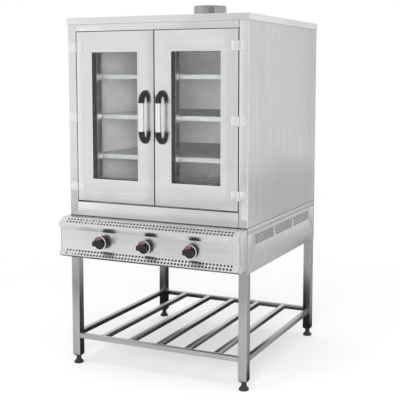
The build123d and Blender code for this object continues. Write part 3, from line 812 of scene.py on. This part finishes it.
# %% [markdown]
# ## Stand
#
# The legs and the rack are welded from square tube. Real tube has rounded corners, from being rolled out of
# strip, and those corners draw the fine bright lines along a leg. So each tube is a block without its two
# end faces, its long edges are rounded, and a Solidify modifier gives it its wall. The grain of its finish
# runs along the tube, so the legs, the rails and the slats have finishes of their own.

# %% Legs
corners = ["front_left", "front_right", "rear_left", "rear_right"]
leg_wall = 2 * MM
leg_corner = 2.2 * MM
for corner in corners:
    low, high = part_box(f"leg_{corner}")
    stand_for(square_tube(f"leg_tube_{corner}", Z, low, high, leg_wall, leg_corner), f"leg_{corner}")

# %% Rack
rack_wall = 1.5 * MM
rack_corner = 1.4 * MM
for rail, run in (("front", X), ("rear", X), ("left", Y), ("right", Y)):
    low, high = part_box(f"rack_{rail}_rail")
    tube = square_tube(f"rail_{rail}", run, low, high, rack_wall, rack_corner)
    stand_for(tube, f"rack_{rail}_rail", finish="cross_rail_steel" if run == X else "side_rail_steel")

slat_count = 5
low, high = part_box("rack_slats")
slat_width = high.z - low.z
slat_pitch = (high.x - low.x - slat_width) / (slat_count - 1)
slat = square_tube("slat_1", Y, low, (low.x + slat_width, high.y, high.z), rack_wall, rack_corner)
for index in range(1, slat_count):
    next_slat = copy_of(slat, f"slat_{index + 1}", (index * slat_pitch, 0, 0))
    stand_for(next_slat, "rack_slats", finish="slat_steel")
stand_for(slat, "rack_slats", finish="slat_steel")

# %% [markdown]
# Each leg ends in a short tapered cap that takes the foot's stud. It starts as a block the size of the
# tube, and its bottom face is drawn in.

# %% Leg ends
cap_end_width = 30 * MM
cap_overlap = 0.2 * MM
cap_low_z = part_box("leg_end_plugs")[0].z
for corner in corners:
    low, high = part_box(f"leg_{corner}")
    cap_high = (high.x, high.y, low.z + cap_overlap)
    leg_cap = new_block(f"leg_cap_{corner}", (low.x, low.y, cap_low_z), cap_high)
    open_mesh(leg_cap)
    pick("EDGE", lambda edge: runs(edge, Z))
    round_edges(leg_corner, 4)
    pick("FACE", facing(Z, -1))
    draw_in = cap_end_width / (high.x - low.x)
    bpy.ops.transform.resize(value=(draw_in, draw_in, 1), center_override=base_point(low, high))
    close_mesh()
    stand_for(soften(leg_cap, 0.8 * MM), "leg_end_plugs", "stand_steel")

# %% [markdown]
# The feet are turned or moulded bells with a neck, and a stud that screws up into the leg. A lathe shape is
# made by drawing half of its outline and spinning it round its axis. The corners are rounded on the
# outline, before the spin, which is far easier than rounding them on the finished shape.

# %% Feet
foot_neck_radius = 11
foot_stud_radius = 5
foot_rim_height = 7
foot_neck_bottom = 21
foot_neck_top = 36.5
for corner in corners:
    low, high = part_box(f"foot_{corner}")
    rim_edge = (high.x - low.x) / 2 / MM
    stud_top = (high.z - low.z) / MM
    foot_outline = [
        (0, 0, 0),
        (rim_edge - 1.5, 0, 1),
        (rim_edge, 2, 1),
        (rim_edge, foot_rim_height, 2),
        (foot_neck_radius, foot_neck_bottom, 5),
        (foot_neck_radius, foot_neck_top, 1),
        (foot_stud_radius, foot_neck_top, 0),
        (foot_stud_radius, stud_top, 0.8),
        (0, stud_top, 0),
    ]
    foot = turned(f"bell_foot_{corner}", base_point(low, high), UPWARD, foot_outline, steps=48)
    stand_for(foot, f"foot_{corner}")

# %% [markdown]
# ## Cabinet
#
# The cabinet is folded sheet. A folded sheet is drawn as a line in section, the line's corners are rounded
# to the bend's radius, and the line is extruded along the fold. The wall comes last, so that both sides of
# each bend keep the same thickness, as in a press brake. The posts turn round the corner onto the side,
# where the rounded bend shows as a soft bright line from top to bottom.

# %% Sizes of the front
sheet = 1.5 * MM
turn_on_side = 8 * MM
shadow_gap = 2.2 * MM
butt_gap = 0.5 * MM
post_low, post_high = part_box("front_post_right")
header_low, header_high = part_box("front_header")
sill_low, sill_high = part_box("front_sill")
face_y = post_low.y
landing_y = post_high.y - sheet
half_width = post_high.x
opening_half = -header_low.x
chamber_half = post_low.x
print("front face", round(face_y, 4), "opening", round(2 * opening_half, 4))

# %% Posts
post_outline = [
    (half_width, face_y + turn_on_side),
    (half_width, face_y),
    (opening_half, face_y),
    (opening_half, landing_y),
    (chamber_half, landing_y),
]
post_ends = (post_low.z + shadow_gap, post_high.z)
post = folded("bent_post_right", Z, *post_ends, post_outline, sheet, bend=3 * MM, wall_on_left=False)
both_sides(stand_for, post, "front_post_right")


# %% Header and sill
def cross_piece(name, edge_z, opening_z, landing_end_z, wall_on_left):
    """A face and a ledge between the posts, and the landing that the doors' gaskets press on."""
    section = [(face_y, edge_z), (face_y, opening_z), (landing_y + sheet / 2, opening_z)]
    reach = opening_half - butt_gap
    face = folded(name + "_face", X, -reach, reach, section, sheet, wall_on_left=wall_on_left)
    z0, z1 = sorted((opening_z, landing_end_z))
    landing = new_block(name, (-chamber_half, landing_y, z0), (chamber_half, landing_y + sheet, z1))
    return joined(name, soften(landing), face)


landing_reach = opening_half - chamber_half
sill_opening_z = sill_high.z - landing_reach
header_opening_z = header_low.z + landing_reach
sill_edge_z = sill_low.z + shadow_gap
sill = cross_piece("bent_sill", sill_edge_z, sill_opening_z, sill_high.z, False)
stand_for(sill, "front_sill")
header = cross_piece("bent_header", header_high.z, header_opening_z, header_low.z, True)
stand_for(header, "front_header")

# %% [markdown]
# The side sheets start where the posts' bends end, flush with them. Their lower edge stands a little above
# the base. The dark line that runs round the cabinet's foot is painted shade: a black strip, set back from
# the edge, fills the gap.

# %% Side sheets
low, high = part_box("side_panel_right")
side_low = (low.x, face_y + turn_on_side, low.z + shadow_gap)
side_sheet = soften(new_block("side_sheet_right", side_low, high), 0.5 * MM)
both_sides(stand_for, side_sheet, "side_panel_right")

# %% Black strip of painted shade at the cabinet's foot
strip_set_back = 0.8 * MM
strip_width = 8 * MM
strip_top = low.z + shadow_gap
strip_high = Vector((half_width - strip_set_back, face_y + strip_set_back + strip_width, strip_top))
strip_low = Vector((-strip_high.x, face_y + strip_set_back, low.z))
# A black strip in the gap under the sheets: painted shade for the dark line at the cabinet's foot.
shade_strip = new_block("shade_strip_front", strip_low, strip_high)
side_strip = new_block(
    "seat_strip_right",
    (strip_high.x - strip_width, strip_high.y, low.z),
    (strip_high.x, high.y - strip_set_back, strip_top),
)
other_strip = mirrored(side_strip, "seat_strip_left")
whole_strip = soften(joined("shade_strip", shade_strip, side_strip, other_strip), 0.2 * MM)
settle(whole_strip, "base_deck", "seal_rubber")

# %% [markdown]
# The roof is a shallow lid that stands proud of the casing at the front and sides. It is a block whose
# upper edges and upright corners are rounded to the radius of a folded sheet, with the flue's hole cut
# through it.

# %% Roof cap
flue_low, flue_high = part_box("flue_collar")
flue_radius = (flue_high.x - flue_low.x) / 2
flue_foot = base_point(flue_low, flue_high)
flue_ledge = 0.9 * MM
low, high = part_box("roof_cap")
cap = new_block("folded_cap", low, high)
round_off(cap, lambda edge: at(edge, Z, high.z) or runs(edge, Z), 2.5 * MM)
hole_place = (flue_foot.x, flue_foot.y, low.z)
cut_away(cap, new_cylinder("flue_hole", hole_place, flue_radius - flue_ledge, 4 * (high.z - low.z)))
stand_for(soften(cap, 0.4 * MM), "roof_cap", "door_steel")

# %% [markdown]
# The flue collar is a short round tube with its upper edge rolled outwards a little. It is one closed
# outline, spun round the flue's axis, so the inside that shows from above is there too.

# %% Flue collar
collar_radius = flue_radius / MM
collar_bottom = (high.z - flue_low.z) / MM
collar_top = (flue_high.z - flue_low.z) / MM
collar_wall = 1.5
collar_waist = collar_radius - 0.4
collar_neck = collar_radius - 1.2
collar_outline = [
    (collar_neck - collar_wall, 0, 0),
    (collar_neck, 0, 0),
    (collar_neck, collar_bottom, 0),
    (collar_radius, collar_bottom, 0.4),
    (collar_waist, collar_bottom + 4, 0.4),
    (collar_waist, collar_top - 4, 1),
    (collar_radius, collar_top - 2.4, 0.6),
    (collar_radius, collar_top, 0.8),
    (collar_radius - collar_wall, collar_top, 0.6),
    (collar_waist - collar_wall, collar_bottom + 3, 0),
    (collar_neck - collar_wall, collar_bottom, 0),
]
collar = turned("rolled_collar", flue_foot, UPWARD, collar_outline, closed=True, steps=128)
stand_for(collar, "flue_collar", finish="flue_steel")

# %% [markdown]
# One rivet shows at the header's right end. A rivet or screw head is a low dome, turned from a short
# outline.


# %% Rivet and screw heads
def dome_head(name, place, axis, radius=3.2, rise=1.5):
    """A domed head that stands on a surface; radius and rise are in millimetres."""
    base = -0.5
    edge = rise * 0.4
    outline = [(0, base, 0), (radius, base, 0), (radius, edge, 0.5), (radius / 2, rise, 0.6), (0, rise, 0)]
    return turned(name, place, axis, outline, steps=24)


rivet_inset = 14 * MM
rivet_place = (opening_half - rivet_inset, face_y, header_high.z - rivet_inset)
settle(dome_head("header_rivet", rivet_place, FORWARD), "front_header", "bright_steel")

# %% [markdown]
# ## Doors
#
# Each door's outside is a shallow pan. It starts as a block whose back face is deleted. Four bisects across
# its front draw the window's opening, a little inside the trim's outline, and the face between them is
# deleted. Only then does the sheet get its wall.

# %% Outer pans
trim_rise = 1.2 * MM
trim_width = 9 * MM
seal_reach = 6 * MM
trim_lap = 1 * MM
door_foot_gap = 4.5 * MM
door_side_gap = 1.2 * MM
pan_rounding = 1.6 * MM
pan_wall = sheet - 0.05 * MM
near_middle = 20 * MM


def trim_box(side):
    """The window trim's lowest and highest corners."""
    seal_low, seal_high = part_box(f"window_seal_{side}")
    grow = Vector((trim_width - seal_reach, 0, trim_width - seal_reach))
    return seal_low - grow, seal_high + grow


def door_pan(side):
    """The outer sheet of a door, with its opening for the window."""
    low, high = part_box(f"door_outer_{side}")
    trim_low, trim_high = trim_box(side)
    front_y = low.y + trim_rise
    foot_z = low.z + door_foot_gap
    if side == "right":
        high.x -= door_side_gap
    else:
        low.x += door_side_gap
    pan = new_block(f"door_pan_{side}", (low.x, front_y, foot_z), high)
    open_mesh(pan)
    delete_faces(facing(Y, 1))
    for axis in (X, Z):
        for place in (trim_low[axis] + trim_lap, trim_high[axis] - trim_lap):
            pick("FACE", facing(Y, -1))
            cut(axis, place)
    window_middle = (trim_low + trim_high) / 2
    window_middle.y = front_y
    delete_faces(lambda face: (middle(face) - window_middle).length < near_middle)

    def outer_edge(edge):
        at_side = at(edge, X, low.x) or at(edge, X, high.x)
        at_end = at(edge, Z, foot_z) or at(edge, Z, high.z)
        on_front = at(edge, Y, front_y) and (at_side or at_end)
        return on_front or (runs(edge, Y) and at_side and at_end)

    pick("EDGE", outer_edge)
    round_edges(pan_rounding)
    close_mesh()
    return soften(give_wall(pan, pan_wall))


# %% [markdown]
# The trim round each window is a bright bead that slopes down to the glass. It is a block whose front face
# is inset by the bead's width. The face in the middle is pushed back to the glass and deleted.


# %% Window trims
def window_trim(side):
    """The sloped bead round a door's window."""
    trim_low, trim_high = trim_box(side)
    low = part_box(f"door_outer_{side}")[0]
    glass_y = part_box(f"window_glass_{side}")[0].y
    back_y = glass_y - 0.5 * MM
    front = (trim_low.x, low.y, trim_low.z)
    trim = new_block(f"window_trim_{side}", front, (trim_high.x, back_y, trim_high.z))
    open_mesh(trim)
    delete_faces(facing(Y, 1))
    pick("FACE", facing(Y, -1))
    bpy.ops.mesh.inset(thickness=trim_width)
    bpy.ops.transform.translate(value=(0, back_y - low.y, 0))
    bpy.ops.mesh.delete(type="ONLY_FACE")
    pick("EDGE", lambda edge: at(edge, Y, low.y) and edge.calc_length() > trim_width)
    round_edges(0.5 * MM, 2)
    close_mesh()
    return give_wall(trim, 0.4 * MM)


for side in ("left", "right"):
    stand_for(door_pan(side), f"door_outer_{side}")
    stand_for(window_trim(side), f"door_outer_{side}", finish="trim_steel")

# %% [markdown]
# The hinges are small butt hinges on the face. A leaf is a thin plate with well rounded corners on its
# outer side and two domed screws. The post's leaf carries the upper and lower knuckles and the door's leaf
# the middle one, each turned round the pin's axis.

# %% Hinges
leaf_thickness = 2 * MM
leaf_height = 42 * MM
leaf_corner = 9 * MM
leaf_gap = 1 * MM
knuckle_radius = 4.5
knuckle_height = leaf_height / 3
knuckle_gap = 0.3
screw_share_across = 0.62
screw_share_up = 0.27
post_leaf_low, post_leaf_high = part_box("post_hinge_leaves")
door_leaf_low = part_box("hinge_leaves_right")[0]
hinge_low_z = post_leaf_low.z + leaf_height / 2
hinge_step = (post_leaf_high.z - post_leaf_low.z - leaf_height) / 2
axis_x = opening_half
axis_y = post_leaf_low.y + knuckle_radius * MM


def knuckle(name, z):
    """One of a hinge's three knuckles, from z upwards."""
    top = knuckle_height / MM - knuckle_gap
    side = [(knuckle_radius, knuckle_gap, 0.7), (knuckle_radius, top, 0.7)]
    outline = [(0, knuckle_gap, 0), *side, (0, top, 0)]
    return turned(name, (axis_x, axis_y, z), UPWARD, outline, steps=32)


def leaf(name, inner_x, outer_x, knuckles):
    """A leaf at the lowest hinge, with its screws and its knuckles, which are counted from below."""
    foot_z = hinge_low_z - leaf_height / 2
    x0, x1 = sorted((inner_x, outer_x))
    plate = new_block(name, (x0, face_y - leaf_thickness, foot_z), (x1, face_y, foot_z + leaf_height))
    round_off(plate, lambda edge: runs(edge, Y) and at(edge, X, outer_x), leaf_corner, 6)
    pieces = [soften(plate, 0.6 * MM, 3)]
    screw_x = inner_x + (outer_x - inner_x) * screw_share_across
    for way in (-1, 1):
        place = (screw_x, face_y - leaf_thickness, hinge_low_z + way * leaf_height * screw_share_up)
        pieces.append(dome_head("screw", place, FORWARD))
    for index in knuckles:
        pieces.append(knuckle("knuckle", foot_z + index * knuckle_height))
    return joined(name, *pieces)


def three_leaves(name, lowest):
    """The lowest leaf and its copies at the two hinges above."""
    middle_leaf = copy_of(lowest, "leaf_middle", (0, 0, hinge_step))
    top_leaf = copy_of(lowest, "leaf_top", (0, 0, 2 * hinge_step))
    return joined(name, lowest, middle_leaf, top_leaf)


post_leaf = leaf("post_leaf", axis_x + leaf_gap, post_leaf_high.x, (0, 2))
door_leaf = leaf("door_leaf", axis_x - leaf_gap, door_leaf_low.x, (1,))
post_leaves = three_leaves("post_leaves_right", post_leaf)
door_leaves = three_leaves("door_leaves_right", door_leaf)
both_sides(stand_for, post_leaves, "post_hinge_leaves", finish="hinge_steel")
both_sides(stand_for, door_leaves, "hinge_leaves_right", finish="hinge_steel")

# %% [markdown]
# The handle's ends are moulded elbows. Each leaves the door squarely and turns through a quarter circle
# into line with the tube. An eight-sided outline is drawn on the door and spun through the quarter turn in
# a few steps, which leaves the facets that the real ones show, and then it runs on straight over the tube's
# end.

# %% Handle ends
elbow_width = 26 * MM
elbow_steps = 4
elbow_sides = 8
bar_wall = 1.5


def handle_end(name, axis_point, door_z, bar_z):
    """An elbow whose outer edge on the door is at door_z, and which ends on the tube at bar_z."""
    half = elbow_width / 2
    standoff = face_y - axis_point.y
    inward = 1 if bar_z > door_z else -1
    centre = Vector((axis_point.x, face_y, door_z + inward * half))
    step = 2 * math.pi / elbow_sides
    reach = half / math.cos(step / 2)
    ring = []
    for side in range(elbow_sides):
        angle = (side + 0.5) * step
        ring.append(centre + Vector((math.cos(angle), 0, math.sin(angle))) * reach)
    elbow = draw_face(name, ring)
    pivot = centre + Vector((0, 0, inward * standoff))
    bpy.ops.mesh.spin(steps=elbow_steps, angle=inward * math.pi / 2, center=pivot, axis=(1, 0, 0))
    pick("FACE", lambda face: at(face, Z, pivot.z) and abs(face.normal.z) > FACING)
    push(0, 0, bar_z - pivot.z)
    weld()
    return soften(elbow, 1.2 * MM, 3)


for side in ("left", "right"):
    bar_low, bar_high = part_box(f"handle_bar_{side}")
    ends_low, ends_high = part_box(f"handle_ends_{side}")
    axis_point = base_point(bar_low, bar_high)
    for end, door_z, bar_z in (("lower", ends_low.z, bar_low.z), ("upper", ends_high.z, bar_high.z)):
        stand_for(handle_end(f"elbow_{end}_{side}", axis_point, door_z, bar_z), f"handle_ends_{side}")

    outer = (bar_high.x - bar_low.x) / 2 / MM
    inner = outer - bar_wall
    length = (bar_high.z - bar_low.z) / MM
    bar_outline = [(inner, 0, 0), (outer, 0, 0), (outer, length, 0), (inner, length, 0)]
    bar = turned(f"handle_tube_{side}", axis_point, UPWARD, bar_outline, closed=True)
    stand_for(bar, f"handle_bar_{side}")

# %% [markdown]
# ## Control panel
#
# The panel is one bent sheet: a slope under the cabinet, a nose, an undercut, the face with the knobs, and
# a flared lip that turns back under. Two rows of vent holes run along the slope and two along the flare.
# The holes are cut by a grid of small cylinders, made from one cylinder by two Array modifiers and turned
# to stand on the slope.

# %% Panel sizes
panel_low, panel_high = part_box("control_panel")
panel_half = panel_high.x
panel_top = panel_high.z
panel_bottom = panel_low.z
nose_y = panel_low.y
nose_height = 2 * MM
slope_start_y = nose_y + 38 * MM
panel_face_y = nose_y + 18 * MM
undercut_top = panel_top - 32 * MM
undercut_bottom = undercut_top - 22 * MM
flare_top = panel_bottom + 38 * MM
lip_top = panel_bottom + 10 * MM
lip_end_y = nose_y + 12 * MM
panel_section = [
    (panel_high.y, panel_top),
    (slope_start_y, panel_top),
    (nose_y, undercut_top + nose_height),
    (nose_y, undercut_top),
    (panel_face_y, undercut_bottom),
    (panel_face_y, flare_top),
    (nose_y, lip_top + nose_height),
    (nose_y, lip_top),
    (lip_end_y, panel_bottom),
]


# %% Vent holes
hole_pitch = 16.5 * MM
hole_row_gap = 16 * MM
hole_radius = 5.2 * MM
hole_margin = 30 * MM
drill_depth = 8 * MM
drill_sides = 14
hole_count = int((2 * panel_half - 2 * hole_margin) // hole_pitch) + 1


def hole_grid(start, end, from_bend):
    """Cylinders through two rows of holes on the slope from one bend to the next."""
    (y0, z0), (y1, z1) = start, end
    run = Vector((0, y1 - y0, z1 - z0)).normalized()
    across = Vector((1, 0, 0)).cross(run)
    first = Vector((-(hole_count - 1) / 2 * hole_pitch, y0, z0)) + run * (from_bend - hole_row_gap / 2)
    turn = across.to_track_quat("Z", "X").to_euler()
    drill = new_cylinder("drill", first, hole_radius, drill_depth, turn, drill_sides)
    return repeated(drill, (hole_count, (hole_pitch, 0, 0)), (2, run * hole_row_gap))


bent_panel = folded("bent_panel", X, -panel_half, panel_half, panel_section, sheet, bend=1 * MM)
cut_away(bent_panel, hole_grid(*panel_section[1:3], from_bend=19.5 * MM))
cut_away(bent_panel, hole_grid(*panel_section[5:7], from_bend=16 * MM))
print("panel faces", len(bent_panel.data.polygons))


# %% Panel ends
panel_end_wall = 2 * sheet
panel_end_gap = 3.5 * MM
seal_set_back = 0.4 * MM
end_y = panel_high.y - panel_end_gap
end_x = panel_half - panel_end_wall
end_section = [(end_y, panel_top), *panel_section[1:], (end_y, panel_bottom)]
right_end = draw_face("panel_end_right", [Vector((end_x, y, z)) for y, z in end_section])
push(panel_end_wall, 0, 0)
weld()
soften(right_end, 0.7 * MM, 3)
left_end = mirrored(right_end, "panel_end_left")
stand_for(joined("formed_panel", bent_panel, right_end, left_end), "control_panel")

seal_high = (panel_half - seal_set_back, panel_high.y, panel_top)
panel_seal = soften(new_block("panel_seal_right", (end_x, end_y, panel_bottom), seal_high))
both_sides(settle, panel_seal, "control_panel", "seal_rubber")

# %% [markdown]
# ## Knobs
#
# A knob has a round black skirt, a black plate with a bright raised rim on its front, and a thick black bar
# across the middle to grip it by. The skirt, the plate and the rim are turned. The grip starts as a round
# disc, is cut flat above and below by two bisects, and gets its front edges rounded. A plain dull red band
# over the upper left of the rim and the plate stands for the scale.

# %% Knob sizes
skirt_radius = 28
skirt_flare = 1.5
skirt_height = 22
rim_radius = 31.2
rim_inner_radius = 27.8
plate_radius = rim_inner_radius - 0.5
plate_front = skirt_height + 1
rim_front = skirt_height + 4
band_inner_radius = 14
band_half = 0.25
band_start = math.radians(76)
band_sweep = math.radians(126)
grip_radius = 25 * MM
grip_half_height = 11.5 * MM
knob_height = 52 * MM


# %% Knob parts
skirt_outline = [
    (0, 0, 0),
    (skirt_radius + skirt_flare, 0, 0.8),
    (skirt_radius, 3, 0.5),
    (skirt_radius + skirt_flare, skirt_height, 0.5),
    (0, skirt_height, 0),
]
plate_outline = [
    (0, plate_front, 0),
    (plate_radius, plate_front, 0.4),
    (plate_radius, skirt_height - 0.3, 0),
    (0, skirt_height - 0.3, 0),
]
rim_outline = [
    (rim_inner_radius - 1, plate_front, 0),
    (rim_inner_radius, rim_front, 0.6),
    (rim_radius - 1, rim_front, 0.6),
    (rim_radius, rim_front - 1.4, 0.4),
    (rim_radius, skirt_height - 0.5, 0.4),
    (rim_inner_radius - 1, skirt_height - 0.5, 0),
]
band_outline = [
    (band_inner_radius, plate_front - band_half),
    (rim_inner_radius - 0.7, plate_front - band_half),
    (rim_inner_radius + 0.4, rim_front - band_half),
    (rim_radius - 1, rim_front - band_half),
    (rim_radius - 0.8, rim_front + 0.2),
    (rim_inner_radius - 0.2, rim_front + 0.2),
    (rim_inner_radius - 1.3, plate_front + band_half),
    (band_inner_radius, plate_front + band_half),
]


def knob_scale(name, centre):
    """A thin band that follows the rim and the plate's edge through about a third of a turn."""
    side = Vector((math.cos(band_start), 0, math.sin(band_start)))
    points = [centre + side * radius * MM + Vector((0, -rise * MM, 0)) for radius, rise in band_outline]
    band = draw_face(name, points)
    bpy.ops.mesh.spin(steps=24, angle=band_sweep, center=centre, axis=BACKWARD)
    weld()
    return band


def knob_grip(name, centre):
    """A disc cut flat above and below, with a rounded front."""
    front_y = centre.y - knob_height
    back_y = centre.y - (skirt_height + 0.5) * MM
    place = (centre.x, (front_y + back_y) / 2, centre.z)
    grip = new_cylinder(name, place, grip_radius, back_y - front_y, turn=(math.pi / 2, 0, 0))
    open_mesh(grip)
    take_all()
    cut(Z, centre.z + grip_half_height, clear_above=True)
    take_all()
    cut(Z, centre.z - grip_half_height, clear_below=True)
    pick("EDGE", lambda edge: all(abs(vertex.co.y - front_y) < SLACK for vertex in edge.verts))
    round_edges(4 * MM, 4)
    close_mesh()
    return soften(grip, 0.8 * MM)


# %% Knobs
for node in ("thermostat_knob", "top_heat_knob", "bottom_heat_knob"):
    low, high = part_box(node)
    centre = Vector(((low.x + high.x) / 2, panel_face_y - MM, (low.z + high.z) / 2))
    stand_for(turned(node + "_skirt", centre, FORWARD, skirt_outline), node)
    stand_for(knob_grip(node + "_grip", centre), node)
    stand_for(turned(node + "_plate", centre, FORWARD, plate_outline), node)
    stand_for(turned(node + "_rim", centre, FORWARD, rim_outline, closed=True), node, "bright_steel")
    settle(knob_scale(node + "_scale", centre), node, finish="scale_enamel")

# %% [markdown]
# ## Louvred sides
#
# The base's sides let the heat out through pressed louvres. Each louvre is a slot whose lower lip is
# pressed outward a little. The sheet is cut by one rounded tool that two Array modifiers repeat, and one
# folded lip is repeated under every slot. Along the top runs a hem, and the shadow under its lower edge is
# painted shade: a thin black strip in a groove.

# %% Louvre and hem sizes
side_face_x = half_width
louvre_length = 225 * MM
louvre_height = 4.6 * MM
louvre_rounding = 1.9 * MM
louvre_groups = 3
louvre_step = 253 * MM
louvre_rows = 4
louvre_pitch = 11 * MM
first_drop = 46 * MM
hem_height = 20 * MM
hem_overlap = 0.2 * MM
groove_height = 2.4 * MM
groove_depth = 1.1 * MM
line_set_back = 0.4 * MM
line_end_gap = 1 * MM
overcut = 1 * MM

# %% Base sides
low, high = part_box("base_side_right")
side_block = new_block("louvred_side", low, (side_face_x, high.y, high.z))
hem_low = (side_face_x - hem_overlap, low.y, high.z - hem_height)
hem = new_block("hem", hem_low, (high.x, high.y, high.z - 0.5 * MM))
first_y = (low.y + high.y) / 2 - (louvre_groups - 1) / 2 * louvre_step
first_z = high.z - first_drop
slot_foot_z = first_z - louvre_height / 2
slot_low = (low.x - 2 * overcut, first_y - louvre_length / 2, slot_foot_z)
slot_high = (side_face_x + 2 * overcut, first_y + louvre_length / 2, first_z + louvre_height / 2)
slot_tool = new_block("slot_tool", slot_low, slot_high)
round_off(slot_tool, lambda edge: runs(edge, X), louvre_rounding)
louvre_steps = ((louvre_groups, (0, louvre_step, 0)), (louvre_rows, (0, 0, -louvre_pitch)))
cut_away(side_block, repeated(slot_tool, *louvre_steps))

# %% Groove under the hem, with a black strip of painted shade
groove_top = high.z - hem_height
groove_x = side_face_x - groove_depth
groove_foot = groove_top - groove_height
groove_high = (side_face_x + overcut, high.y + overcut, groove_top)
cut_away(side_block, new_block("groove_tool", (groove_x, low.y - overcut, groove_foot), groove_high))
# Painted shade: the black strip in the groove stands for the shadow under the hem's lower edge.
line_high = (side_face_x - line_set_back, high.y - line_end_gap, groove_top)
hem_shade_strip = new_block("hem_line_right", (groove_x, low.y + line_end_gap, groove_foot), line_high)
both_sides(settle, soften(hem_shade_strip, 0.1 * MM), "base_side_right", "seal_rubber")

# %% Louvre lips
lip_section = [
    (side_face_x - 0.2 * MM, slot_foot_z - 3.2 * MM),
    (side_face_x + 1.9 * MM, slot_foot_z + 0.6 * MM),
    (side_face_x + 1.4 * MM, first_z + 0.4 * MM),
]
lip_half = louvre_length / 2 - 4 * MM
lip_ends = (first_y - lip_half, first_y + lip_half)
lips = folded("louvre_lips", Y, *lip_ends, lip_section, 0.7 * MM, bend=0.8 * MM)
repeated(lips, *louvre_steps)
side_sheet = joined("louvred_side_right", soften(side_block, 0.4 * MM), soften(hem, 0.4 * MM), lips)
both_sides(stand_for, side_sheet, "base_side_right")

# %% [markdown]
# ## Back
#
# The back sheet comes ready made in the frame. Its screws are low domes, turned one by one along the
# sheet's edges.

# %% Screws on the back
low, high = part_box("back_panel")
screw_margin = 12 * MM
columns = 5
rows = 6
screw_low = Vector((low.x + screw_margin, high.y, low.z + screw_margin))
step_x = (high.x - low.x - 2 * screw_margin) / (columns - 1)
step_z = (high.z - low.z - 2 * screw_margin) / (rows - 1)
screws = []
for column in range(columns):
    for row in range(rows):
        if column in (0, columns - 1) or row in (0, rows - 1):
            place = screw_low + Vector((column * step_x, 0, row * step_z))
            screws.append(dome_head("back_screw", place, BACKWARD, radius=4))
settle(joined("back_screws", *screws), "back_panel", "brushed_steel")
